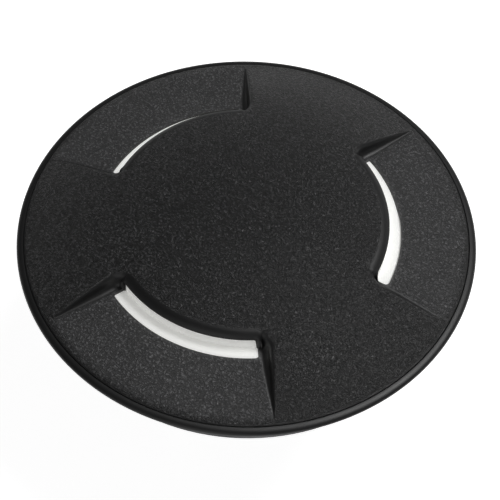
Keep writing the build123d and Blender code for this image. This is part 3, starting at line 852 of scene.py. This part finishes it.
    @staticmethod
    def rounded(first: np.ndarray, second: np.ndarray, corner: float) -> np.ndarray:
        """Distance outside two sides that meet in a rounded corner; negative inside."""
        far = np.hypot(np.maximum(first + corner, 0), np.maximum(second + corner, 0))
        return far + np.minimum(np.maximum(first, second) + corner, 0) - corner

    @staticmethod
    def past(radius: np.ndarray, angle: np.ndarray, limit: float) -> np.ndarray:
        """Distance past a radial line at an angle each side of a scoop's middle."""
        half = math.radians(limit)
        return radius * (np.abs(np.sin(angle)) * math.cos(half) - np.cos(angle) * math.sin(half))

    def outside_scoop(self, x: np.ndarray, y: np.ndarray) -> np.ndarray:
        """Distance outside the rounded outline of the nearest scoop.

        Args:
            x: X of the points.
            y: Y of the points.

        Returns:
            The distance, negative inside the outline.
        """
        radius, angle = self.scoop_place(x, y)
        side = self.past(radius, angle, self.scoop_half_angle)
        return self.rounded(side, self.slot_inner_radius - radius, self.scoop_corner)

    def outside_slot(self, x: np.ndarray, y: np.ndarray) -> np.ndarray:
        """Distance outside the nearest slot.

        Args:
            x: X of the points.
            y: Y of the points.

        Returns:
            The distance, negative over the opening.
        """
        radius, angle = self.scoop_place(x, y)
        end = self.past(radius, angle, self.slot_half_angle)
        outer = self.rounded(end, radius - self.slot_outer_radius, self.slot_corner)
        return np.maximum(self.outside_scoop(x, y), outer)

    def wall_face(self, height: np.ndarray) -> np.ndarray:
        """Distance outside the outline at which the leaning wall has a height."""
        return math.tan(math.radians(self.scoop_draft)) * (height - self.outline_level)

    def wall_radii(self, radius: np.ndarray) -> tuple[np.ndarray, np.ndarray]:
        """Radii of a side wall's foot and shoulder, less where the wall is low.

        Args:
            radius: distance from the axis.

        Returns:
            The foot's radius and the shoulder's.
        """
        rise = np.maximum(self.dome(radius) - self.floor(radius), self.least_rise)
        foot = np.minimum(self.scoop_foot, self.foot_share * rise)
        return foot, np.minimum(self.scoop_shoulder, self.shoulder_share * rise)

    def foot_start(self, radius: np.ndarray) -> np.ndarray:
        """Distance outside the outline at which a side wall leaves the floor."""
        foot, _ = self.wall_radii(radius)
        return self.wall_face(self.floor(radius) + foot) - foot

    def side_wall(self, over: np.ndarray, radius: np.ndarray) -> np.ndarray:
        """Height across a side wall: filleted foot, leaning face and rounded shoulder.

        Args:
            over: distance outside the scoop's outline.
            radius: distance from the axis.

        Returns:
            The height.
        """
        lean = math.radians(self.scoop_draft)
        floor, dome = self.floor(radius), self.dome(radius)
        foot, shoulder = self.wall_radii(radius)
        low = self.wall_face(floor + foot) - foot / math.cos(lean)
        high = self.wall_face(dome - shoulder) + shoulder / math.cos(lean)
        rising = floor + foot - np.sqrt(np.maximum(foot**2 - np.maximum(over - low, 0) ** 2, 0))
        leaning = self.outline_level + over / math.tan(lean)
        turning = dome - shoulder + np.sqrt(np.maximum(shoulder**2 - np.maximum(high - over, 0) ** 2, 0))
        height = np.where(over < high - shoulder * math.cos(lean), leaning, turning)
        return np.where(over < low + foot * math.cos(lean), rising, height)

    def lip(self, over: np.ndarray, radius: np.ndarray) -> np.ndarray:
        """Height across the rolled lip over a slot.

        Args:
            over: distance behind the lip's edge.
            radius: distance from the axis.

        Returns:
            The height.
        """
        back = np.clip(over, 0, self.lip_roll)
        middle = self.roll_radius * math.sin(self.roll_tilt)
        start = float(self.dome(np.float64(self.slot_inner_radius - self.lip_roll)))
        along = self.lip_roll - back + middle
        arc = np.sqrt(self.roll_radius**2 - along**2) - self.roll_radius * math.cos(self.roll_tilt)
        drop = self.dome(self.slot_inner_radius - back) - start - arc
        return self.dome(radius) - drop

    def lip_share(self, angle: np.ndarray) -> np.ndarray:
        """How far the wall behind a slot is lip: wholly along the slot, down to none beyond its ends.

        Args:
            angle: angle from the scoop's middle, in radians.

        Returns:
            The share.
        """
        end, gone = math.radians(self.lip_end), math.radians(self.lip_fade)
        along = self.fade(np.abs(angle) - end, gone - end)
        return np.sqrt(1 - along**2)

    def top(self, x: np.ndarray, y: np.ndarray) -> np.ndarray:
        """Height of the cover's upper face.

        Args:
            x: X of the points.
            y: Y of the points.

        Returns:
            The height.
        """
        radius, angle = self.scoop_place(x, y)
        over = self.outside_scoop(x, y)
        side = self.side_wall(over, radius)
        wall = side + (self.lip(over, radius) - side) * self.lip_share(angle)
        behind_slot = (over > -self.edge_slack) & (radius < self.slot_outer_radius + self.scoop_corner)
        height = np.where(behind_slot, wall, side)
        height = np.where(radius > self.runout_radius + 2 * self.runout_blend, self.dome(radius), height)
        band_start = self.crease_radius + self.crease_groove
        across = self.fade(radius - band_start, self.rim_radius - band_start)
        band = self.rim_band_height * np.sqrt(1 - across**2)
        in_groove = np.abs(radius - self.crease_radius - self.crease_groove / 2) < self.crease_groove / 4
        groove = self.rim_band_height - self.crease_groove_depth
        rim = np.where(in_groove, groove, band)
        return np.where(radius > self.crease_radius + self.edge_slack, rim, height)

    def under(self, x: np.ndarray, y: np.ndarray) -> np.ndarray:
        """Height of the cover's lower face: rim, plate, hollows between ribs, window recesses.

        Args:
            x: X of the points.
            y: Y of the points.

        Returns:
            The height.
        """
        radius, angle = self.scoop_place(x, y)
        window = -self.past(radius, angle, self.slot_half_angle)
        window = np.where(radius <= self.slot_outer_radius, window, -self.wall)
        clear = np.maximum(self.outside_scoop(x, y) - self.wall, window)
        clear = np.minimum(clear, self.pocket_radius - radius)
        between = math.pi / self.scoop_count
        off = between - np.abs(angle)
        boss = np.hypot(radius * np.cos(off) - self.boss_circle, radius * np.sin(off)) - self.boss_radius
        clear = np.minimum(clear, boss)
        rib = np.abs(radius * np.sin(off - math.radians(self.rib_azimuth))) - self.rib_half
        rib = np.where(radius > self.rib_inner_radius, rib, self.rim_radius)
        clear = np.minimum(np.minimum(clear, rib), radius - self.centre_boss_radius)
        ceiling = self.dome(radius) - self.wall
        recess = (window > 0) & (radius > self.window_inner_radius)
        ceiling = np.where(recess, np.maximum(ceiling, self.window_top), ceiling)
        height = self.plate_bottom + (ceiling - self.plate_bottom) * self.fade(clear, self.hollow_draft)
        height = np.where(radius < self.centre_boss_radius, self.centre_boss_height, height)
        height = np.minimum(height, self.top(x, y) - self.least_shell)
        return np.where(radius > self.plate_radius + self.edge_slack, 0.0, height)

    def open_face(self, x: np.ndarray, y: np.ndarray) -> np.ndarray:
        """How much of the coat's grain shows: none on walls, lips and the rim's band.

        Args:
            x: X of the points.
            y: Y of the points.

        Returns:
            The share.
        """
        radius, angle = self.scoop_place(x, y)
        over = self.outside_scoop(x, y)
        floor = self.fade(self.foot_start(radius) - self.floor_grain_margin - over, self.floor_grain_fade)
        floor *= self.fade(radius - self.slot_outer_radius - self.slot_grain_margin, self.slot_grain_fade)
        _, shoulder = self.wall_radii(radius)
        high = self.wall_face(self.dome(radius) - shoulder) + self.shoulder_grain_share * shoulder
        edge = high + (self.lip_roll - self.lip_grain_margin - high) * self.lip_share(angle)
        dome = self.fade(over - edge, self.dome_grain_fade)
        runout = self.fade(radius - self.runout_radius + self.runout_grain_fade, self.runout_grain_fade)
        shown = np.maximum(np.maximum(floor, dome), runout)
        return shown * self.fade(self.crease_radius - self.rim_grain_margin - radius, self.rim_grain_fade)

    def scoop_face(self, x: np.ndarray, y: np.ndarray) -> np.ndarray:
        """How far points lie on a scoop's floor, which is coloured lighter than the dome.

        Args:
            x: X of the points.
            y: Y of the points.

        Returns:
            The share.
        """
        radius = np.hypot(x, y)
        start = self.foot_start(radius) + self.scoop_tone_margin
        inside = self.fade(start - self.outside_scoop(x, y), self.scoop_tone_fade)
        return inside * self.fade(self.runout_radius + self.scoop_tone_reach - radius, self.runout_grain_fade)

    # ---- mesh

    def column_angles(self, radius: float) -> np.ndarray:
        """Angles of a full ring's points, drawn together along the scoops' side walls.

        Args:
            radius: the ring's radius.

        Returns:
            The angles in radians, three sectors of them from the first scoop's edge round.
        """
        bands = [np.linspace(start, end, count, endpoint=False) for start, end, count in self.wall_columns]
        marks = np.append(np.concatenate(bands), self.wall_columns[-1][1])
        half = math.radians(self.scoop_half_angle)
        wall = half + np.arcsin(marks / max(radius, self.wall_columns_radius))
        sector = math.pi / self.scoop_count
        middle = np.linspace(-wall[0], wall[0], self.middle_columns)[1:-1]
        beyond = self.columns - 2 * len(wall) - len(middle)
        gap = np.linspace(wall[-1], 2 * sector - wall[-1], beyond + 2)[1:-1]
        fitted = np.concatenate((-wall[::-1], middle, wall, gap))
        even = -wall[-1] + 2 * sector * np.arange(self.columns) / self.columns
        share = float(self.fade(radius - self.drawn_start, self.drawn_run))
        share = share * share * (3 - 2 * share)
        angles = even + (fitted - even) * share
        turns = 2 * sector * np.arange(self.scoop_count)
        return (angles[None, :] + turns[:, None]).ravel() + math.radians(self.scoop_azimuth)

    def count_at(self, radius: float) -> int:
        """Points in the upper face's ring of a radius, fewer towards the middle."""
        part = next((part for limit, part in self.thinning if radius > limit), self.middle_thinning)
        return self.columns * self.scoop_count // part

    def count_under(self, radius: float) -> int:
        """Points in the lower face's ring of a radius: all only round the slots and at the rim.

        Args:
            radius: the ring's radius.

        Returns:
            The count.
        """
        full = self.columns * self.scoop_count
        slack = self.edge_slack
        near_slot = self.window_inner_radius - slack < radius < self.slot_outer_radius + slack
        if near_slot or radius > self.rim_radius - slack:
            return full
        return min(full // 2, self.count_at(radius))

    def slot_radii(self) -> list[float]:
        """Ring radii across a slot, from its inner edge to its outer one."""
        parts = round((self.slot_outer_radius - self.slot_inner_radius) / self.fine_step)
        return list(np.linspace(self.slot_inner_radius, self.slot_outer_radius, parts + 1))

    def inner_radii(self, step: float, near_step: float) -> list[float]:
        """Ring radii from the middle to the slots' inner edge, even between the edges that matter.

        Args:
            step: the rings' distance.
            near_step: their distance from the windows' inner edge outwards.

        Returns:
            The radii, without that of the slots' edge.
        """
        marks = [self.first_ring, self.centre_boss_radius, self.window_inner_radius, self.slot_inner_radius]
        rings: list[float] = []
        for start, end in zip(marks, marks[1:]):
            parts = max(1, round((end - start) / (near_step if start >= self.window_inner_radius else step)))
            rings += list(np.linspace(start, end, parts, endpoint=False))
        return rings

    def top_radii(self) -> list[float]:
        """Ring radii of the upper face.

        Returns:
            The radii, from the middle outwards.
        """
        rings = self.inner_radii(self.ring_step, self.fine_step) + self.slot_radii()
        corner = self.slot_outer_radius + self.fine_reach
        parts = round(self.fine_reach / self.fine_step)
        rings += list(np.linspace(self.slot_outer_radius, corner, parts + 1)[1:])
        parts = round((self.crease_radius - corner) / self.ring_step)
        rings += list(np.linspace(corner, self.crease_radius, parts)[1:])
        band_start = self.crease_radius + self.crease_groove
        rings.append(self.crease_radius + self.crease_groove / 2)
        turns = np.linspace(0, math.pi / 2, self.band_rings)
        rings += list(band_start + (self.rim_radius - band_start) * np.sin(turns))
        return rings

    def under_radii(self) -> list[float]:
        """Ring radii of the lower face.

        Returns:
            The radii, from the middle outwards.
        """
        rings = self.inner_radii(self.under_step, self.ring_step) + self.slot_radii()
        parts = round((self.plate_radius - self.slot_outer_radius) / self.under_step)
        rings += list(np.linspace(self.slot_outer_radius, self.plate_radius, parts)[1:])
        rim_start = self.plate_radius + self.plate_step
        rings.append(rim_start)
        parts = round((self.rim_radius - self.plate_radius) / self.rim_under_step)
        rings += list(np.linspace(rim_start, self.rim_radius, parts)[1:])
        return rings

    def plain_ring(self, radius: float, count: int) -> tuple[np.ndarray, np.ndarray]:
        """X and Y of a ring's points on its circle."""
        angles = self.column_angles(radius)[:: self.columns * self.scoop_count // count]
        return radius * np.cos(angles), radius * np.sin(angles)

    def slot_layout(self, passes: int = 3, probe: float = 0.002, least_slope: float = 0.5) -> SlotPlan:
        """Plan of the rings across the slots, with the points by an opening's edge drawn onto it.

        Args:
            passes: how often the points are drawn closer.
            probe: the short way over which the distance's slope is taken.
            least_slope: the least square of a slope that is reckoned with.

        Returns:
            The plan.
        """
        count = self.columns * self.scoop_count
        radii = self.slot_radii()
        x, y = (np.array(part) for part in zip(*(self.plain_ring(radius, count) for radius in radii)))
        ahead_x, ahead_y = np.roll(x, -1, axis=1), np.roll(y, -1, axis=1)
        middle_x = (x[:-1] + x[1:] + ahead_x[:-1] + ahead_x[1:]) / 4
        middle_y = (y[:-1] + y[1:] + ahead_y[:-1] + ahead_y[1:]) / 4
        is_open = self.outside_slot(middle_x, middle_y) < 0
        closed = np.zeros((1, count), dtype=bool)
        cells = np.concatenate((closed, is_open, closed))
        around = [cells[:-1], cells[1:], np.roll(cells[:-1], 1, axis=1), np.roll(cells[1:], 1, axis=1)]
        edge = np.any(around, axis=0) & ~np.all(around, axis=0)
        for _ in range(passes):
            off = self.outside_slot(x, y)
            slope_x = (self.outside_slot(x + probe, y) - off) / probe
            slope_y = (self.outside_slot(x, y + probe) - off) / probe
            pull = np.where(edge, off, 0.0) / np.maximum(slope_x**2 + slope_y**2, least_slope)
            x, y = x - pull * slope_x, y - pull * slope_y
        rings = {self.ring_key(radius): (x[row], y[row]) for row, radius in enumerate(radii)}
        return SlotPlan(rings, is_open)

    @staticmethod
    def ring_key(radius: float) -> float:
        """A ring's radius as the slots' plan files it."""
        return round(radius, 4)

    def ring_points(self, radius: float, count: int) -> tuple[np.ndarray, np.ndarray]:
        """X and Y of a ring's points, across the slots as the slots' plan has them."""
        drawn = self.slot_plan.rings.get(self.ring_key(radius))
        return drawn if drawn is not None else self.plain_ring(radius, count)

    def surface(
        self,
        radii: list[float],
        counts: Callable[[float], int],
        heights: Callable[[np.ndarray, np.ndarray], np.ndarray],
        points: list[tuple[float, float, float]],
        outer: list[int] | None,
    ) -> tuple[list[tuple[int, ...]], dict[int, list[int]]]:
        """Rings of one face joined into cells, open at the slots.

        Args:
            radii: the rings, from the middle outwards.
            counts: how many points a ring has.
            heights: the face's height.
            points: the mesh's points so far; the new ones are added.
            outer: points of the last ring where another face has made them.

        Returns:
            The faces, looking up, and each ring's points by its place in radii.
        """
        faces: list[tuple[int, ...]] = []
        rings: dict[int, list[int]] = {}
        for index, radius in enumerate(radii):
            if outer is not None and index == len(radii) - 1:
                rings[index] = outer
                continue
            x, y = self.ring_points(radius, counts(radius))
            z = heights(x, y)
            first = len(points)
            points.extend(zip(x.tolist(), y.tolist(), z.tolist()))
            rings[index] = list(range(first, len(points)))
        centre = len(points)
        middle = np.zeros(1)
        points.append((0.0, 0.0, float(heights(middle, middle)[0])))
        first = rings[0]
        faces += [(centre, first[i], first[(i + 1) % len(first)]) for i in range(len(first))]
        start = self.slot_start(radii)
        rows = self.slot_plan.open_cells
        for index in range(len(radii) - 1):
            row = index - start
            gaps = rows[row] if 0 <= row < len(rows) else None
            faces += self.between(rings[index], rings[index + 1], gaps)
        return faces, rings

    def slot_start(self, radii: list[float]) -> int:
        """Place in a list of rings of the one at the slots' inner edge."""
        return int(np.argmin(np.abs(np.array(radii) - self.slot_inner_radius)))

    def between(self, inner: list[int], outer: list[int], gaps: np.ndarray | None) -> list[tuple[int, ...]]:
        """Cells between two rings, which may have different counts of points.

        Args:
            inner: points of the inner ring.
            outer: points of the outer ring.
            gaps: which cells are left open, or None where all are filled.

        Returns:
            The faces, looking up.
        """
        faces: list[tuple[int, ...]] = []
        count = min(len(inner), len(outer))
        wide = len(outer) // count
        deep = len(inner) // count
        for i in range(count):
            if wide == deep:
                if gaps is not None and gaps[i]:
                    continue
                j = (i + 1) % count
                faces.append((inner[i], outer[i], outer[j], inner[j]))
                continue
            few, many, ratio = (inner, outer, wide) if wide > deep else (outer, inner, deep)
            here, there = few[i], few[(i + 1) % count]
            half = ratio // 2
            fans = []
            for k in range(ratio):
                a, b = many[i * ratio + k], many[(i * ratio + k + 1) % len(many)]
                fans.append((here if k < half else there, a, b))
            fans.append((here, many[(i * ratio + half) % len(many)], there))
            faces += fans if wide > deep else [tuple(reversed(face)) for face in fans]
        return faces

    def slot_walls(self, upper: list[list[int]], lower: list[list[int]]) -> list[tuple[int, ...]]:
        """Walls round each slot, from the upper face to the lower one.

        Args:
            upper: the upper face's points, ring by ring across the slots.
            lower: the lower face's points, likewise.

        Returns:
            The walls' faces, looking into the openings.
        """
        cells = self.slot_plan.open_cells
        rows, count = cells.shape
        faces: list[tuple[int, ...]] = []
        for row, i in zip(*(part.tolist() for part in np.nonzero(cells))):
            j = (i + 1) % count
            edges = []
            if row == 0 or not cells[row - 1, i]:
                edges.append(((row, j), (row, i)))
            if row == rows - 1 or not cells[row + 1, i]:
                edges.append(((row + 1, i), (row + 1, j)))
            if not cells[row, i - 1]:
                edges.append(((row, i), (row + 1, i)))
            if not cells[row, j]:
                edges.append(((row + 1, j), (row, j)))
            for (a, b), (c, d) in edges:
                faces.append((upper[a][b], upper[c][d], lower[c][d], lower[a][b]))
        return faces

    def build(self) -> bpy.types.Object:
        """Build the closed mesh, with the marks that its coat reads.

        Returns:
            The new object.
        """
        points: list[tuple[float, float, float]] = []
        top_radii, under_radii = self.top_radii(), self.under_radii()
        top_faces, top_rings = self.surface(top_radii, self.count_at, self.top, points, None)
        top_count = len(points)
        edge = top_rings[len(top_radii) - 1]
        under_faces, under_rings = self.surface(under_radii, self.count_under, self.under, points, edge)
        faces = top_faces + [tuple(reversed(face)) for face in under_faces]
        across = range(len(self.slot_radii()))
        top_start, under_start = self.slot_start(top_radii), self.slot_start(under_radii)
        faces += self.slot_walls(
            [top_rings[top_start + k] for k in across], [under_rings[under_start + k] for k in across]
        )
        place = np.array(points)
        marks = {
            self.GRAIN_ATTRIBUTE: self.open_face(place[:, 0], place[:, 1]),
            self.SCOOP_ATTRIBUTE: self.scoop_face(place[:, 0], place[:, 1]),
        }
        mesh = bpy.data.meshes.new("cover_shell")
        mesh.from_pydata((place * MM).tolist(), [], faces)
        for name, shown in marks.items():
            shown[top_count:] = 0.0
            mesh.attributes.new(name, "FLOAT", "POINT").data.foreach_set("value", shown.astype(np.float32))
        mesh.polygons.foreach_set("use_smooth", [True] * len(mesh.polygons))
        mesh.set_sharp_from_angle(angle=math.radians(self.sharp_angle))
        mesh.validate()
        return place_in_scene("cover_shell", mesh)

    def dress(self, effects: EffectLibrary) -> bpy.types.Object:
        """Build the shell in place of the plain casting and coat it.

        Args:
            effects: the shared effects.

        Returns:
            The shell.
        """
        made = self.build()
        made.data.materials.append(PowderCoat().material(effects))
        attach(made, "cover")
        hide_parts("cover_casting")
        log.info("cover_shell: %d faces", len(made.data.polygons))
        return made


# ---------------------------------------------------------------- carried-over pieces


@dataclass
class CarriedPieces:
    """The pieces whose drawn shape stays, each in the finish that the record names."""

    replaced: tuple[str, ...] = ("cover_casting",)

    def dress(self, effects: EffectLibrary) -> None:
        """Give every carried-over piece its finish.

        Args:
            effects: the shared effects.
        """
        made = {finish.slot: finish.material(effects) for finish in FINISHES}
        for part in frame["record"]["subparts"]:
            node, slot = part["node"], part["material_slot"]
            if node in self.replaced:
                continue
            piece = frame["nodes"][node]
            piece.data.materials.clear()
            piece.data.materials.append(made[slot])
            log.info("%s: %s", node, slot)


# ---------------------------------------------------------------- studio


@dataclass(frozen=True)
class Lamp:
    """One square soft light that looks at the cover, in metres and watts."""

    name: str
    place: tuple[float, float, float]
    size: float
    power: float

    def hang(self) -> None:
        """Hang the light in the scene."""
        data = bpy.data.lights.new(self.name, "AREA")
        data.size = self.size
        data.energy = self.power
        made = place_in_scene(self.name, data)
        made.location = self.place
        made.rotation_mode = "QUATERNION"
        made.rotation_quaternion = (-Vector(self.place)).to_track_quat("-Z", "Y")


@dataclass
class Studio:
    """Pale floor, white surroundings, soft lights and the camera of the photograph."""

    elevation: float = 54.889
    distance: float = 6.3
    focal_pixels: float = 1454.665
    frame_pixels: int = 500
    roll: float = 1.787
    target: tuple[float, float] = (0.016, -0.094)
    sensor: float = 36.0
    clip: tuple[float, float] = (0.01, 20.0)
    lamps: tuple[Lamp, ...] = (
        Lamp("overhead", (0.26, 0.09, 0.60), 0.30, 2.9),
        Lamp("front_fill", (-0.20, -0.60, 0.30), 0.5, 0.55),
    )
    white: Colour = (1.0, 1.0, 1.0, 1.0)
    all_round_light: float = 0.05
    horizon_gloss: float = 0.12
    horizon: tuple[float, float] = (0.3, 0.75)
    paper: Colour = (0.86, 0.86, 0.86, 1.0)
    paper_roughness: float = 0.9
    paper_glow: float = 0.90
    floor_reach: float = 6.0

    def camera(self, radius: float) -> None:
        """Place the camera as the photograph's was, by multiples of the cover's radius.

        Args:
            radius: the cover's radius, in metres.
        """
        data = bpy.data.cameras.new("camera")
        data.sensor_width = self.sensor
        data.sensor_height = self.sensor
        data.lens = self.focal_pixels / self.frame_pixels * self.sensor
        data.dof.use_dof = False
        data.clip_start, data.clip_end = self.clip
        made = place_in_scene("camera", data)
        rise, turn = math.radians(self.elevation), math.radians(self.roll)
        forward = Vector((0.0, math.cos(rise), -math.sin(rise)))
        right = Vector((1.0, 0.0, 0.0))
        up = right.cross(forward)
        across = right * math.cos(turn) + up * math.sin(turn)
        upright = up * math.cos(turn) - right * math.sin(turn)
        aim = Vector((*self.target, 0.0)) * radius
        place = aim - forward * self.distance * radius
        axes = Matrix((across, upright, -forward)).transposed().to_4x4()
        made.matrix_world = Matrix.Translation(place) @ axes
        bpy.context.scene.camera = made

    def surroundings(self) -> None:
        """White to the camera, a pale band by the horizon for gloss, and a weak even light."""
        world = bpy.data.worlds.new("surroundings")
        bpy.context.scene.world = world
        world.use_nodes = True
        wiring = Wiring(world.node_tree)
        ray = wiring.node("LightPath")
        way = wiring.node("SeparateXYZ", {0: wiring.node("TexCoord").outputs["Generated"]}).outputs["Z"]
        low = wiring.remap(wiring.compute("ABSOLUTE", way), *self.horizon, self.horizon_gloss, 0.0)
        gloss = wiring.compute("MAXIMUM", ray.outputs["Is Glossy Ray"], ray.outputs["Is Transmission Ray"])
        shown = wiring.compute(
            "MAXIMUM", ray.outputs["Is Camera Ray"], wiring.compute("MULTIPLY", gloss, low)
        )
        shown = wiring.compute("MULTIPLY", shown, 1.0 - self.all_round_light)
        strength = wiring.compute("ADD", shown, self.all_round_light)
        sky = wiring.node("Background", {"Color": self.white, "Strength": strength})
        wiring.node("OutputWorld", {"Surface": sky.outputs[0]})

    def floor(self, level: float) -> None:
        """Lay a plain pale floor that looks white and keeps the light's shadow.

        Args:
            level: its height, in metres.
        """
        mesh = bpy.data.meshes.new("floor")
        reach = self.floor_reach
        corners = [(x * reach, y * reach, level) for x, y in ((-1, -1), (1, -1), (1, 1), (-1, 1))]
        mesh.from_pydata(corners, [], [(0, 1, 2, 3)])
        made = place_in_scene("floor", mesh)
        paper, wiring = new_material("paper_floor")
        ray = wiring.node("LightPath")
        seen = wiring.compute("MAXIMUM", ray.outputs["Is Camera Ray"], ray.outputs["Is Glossy Ray"])
        skin = wiring.node(
            "BsdfPrincipled",
            {
                "Base Color": self.paper,
                "Roughness": self.paper_roughness,
                "Specular IOR Level": 0.0,
                "Emission Color": self.white,
                "Emission Strength": wiring.compute("MULTIPLY", seen, self.paper_glow),
            },
        )
        wiring.node("OutputMaterial", {"Surface": skin.outputs[0]})
        mesh.materials.append(paper)

    def build(self) -> None:
        """Set up the whole studio."""
        _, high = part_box("cover_casting")
        self.camera(high.x)
        self.floor(cad_box[0].z)
        self.surroundings()
        for lamp in self.lamps:
            lamp.hang()
        bpy.context.scene.view_settings.view_transform = "Standard"


def main() -> None:
    """Build the light's looks and the studio."""
    logging.basicConfig(level=logging.INFO, format="%(name)s %(message)s")
    effects = EffectLibrary()
    CarriedPieces().dress(effects)
    CoverShell().dress(effects)
    Studio().build()


if __name__ == "__main__":
    main()
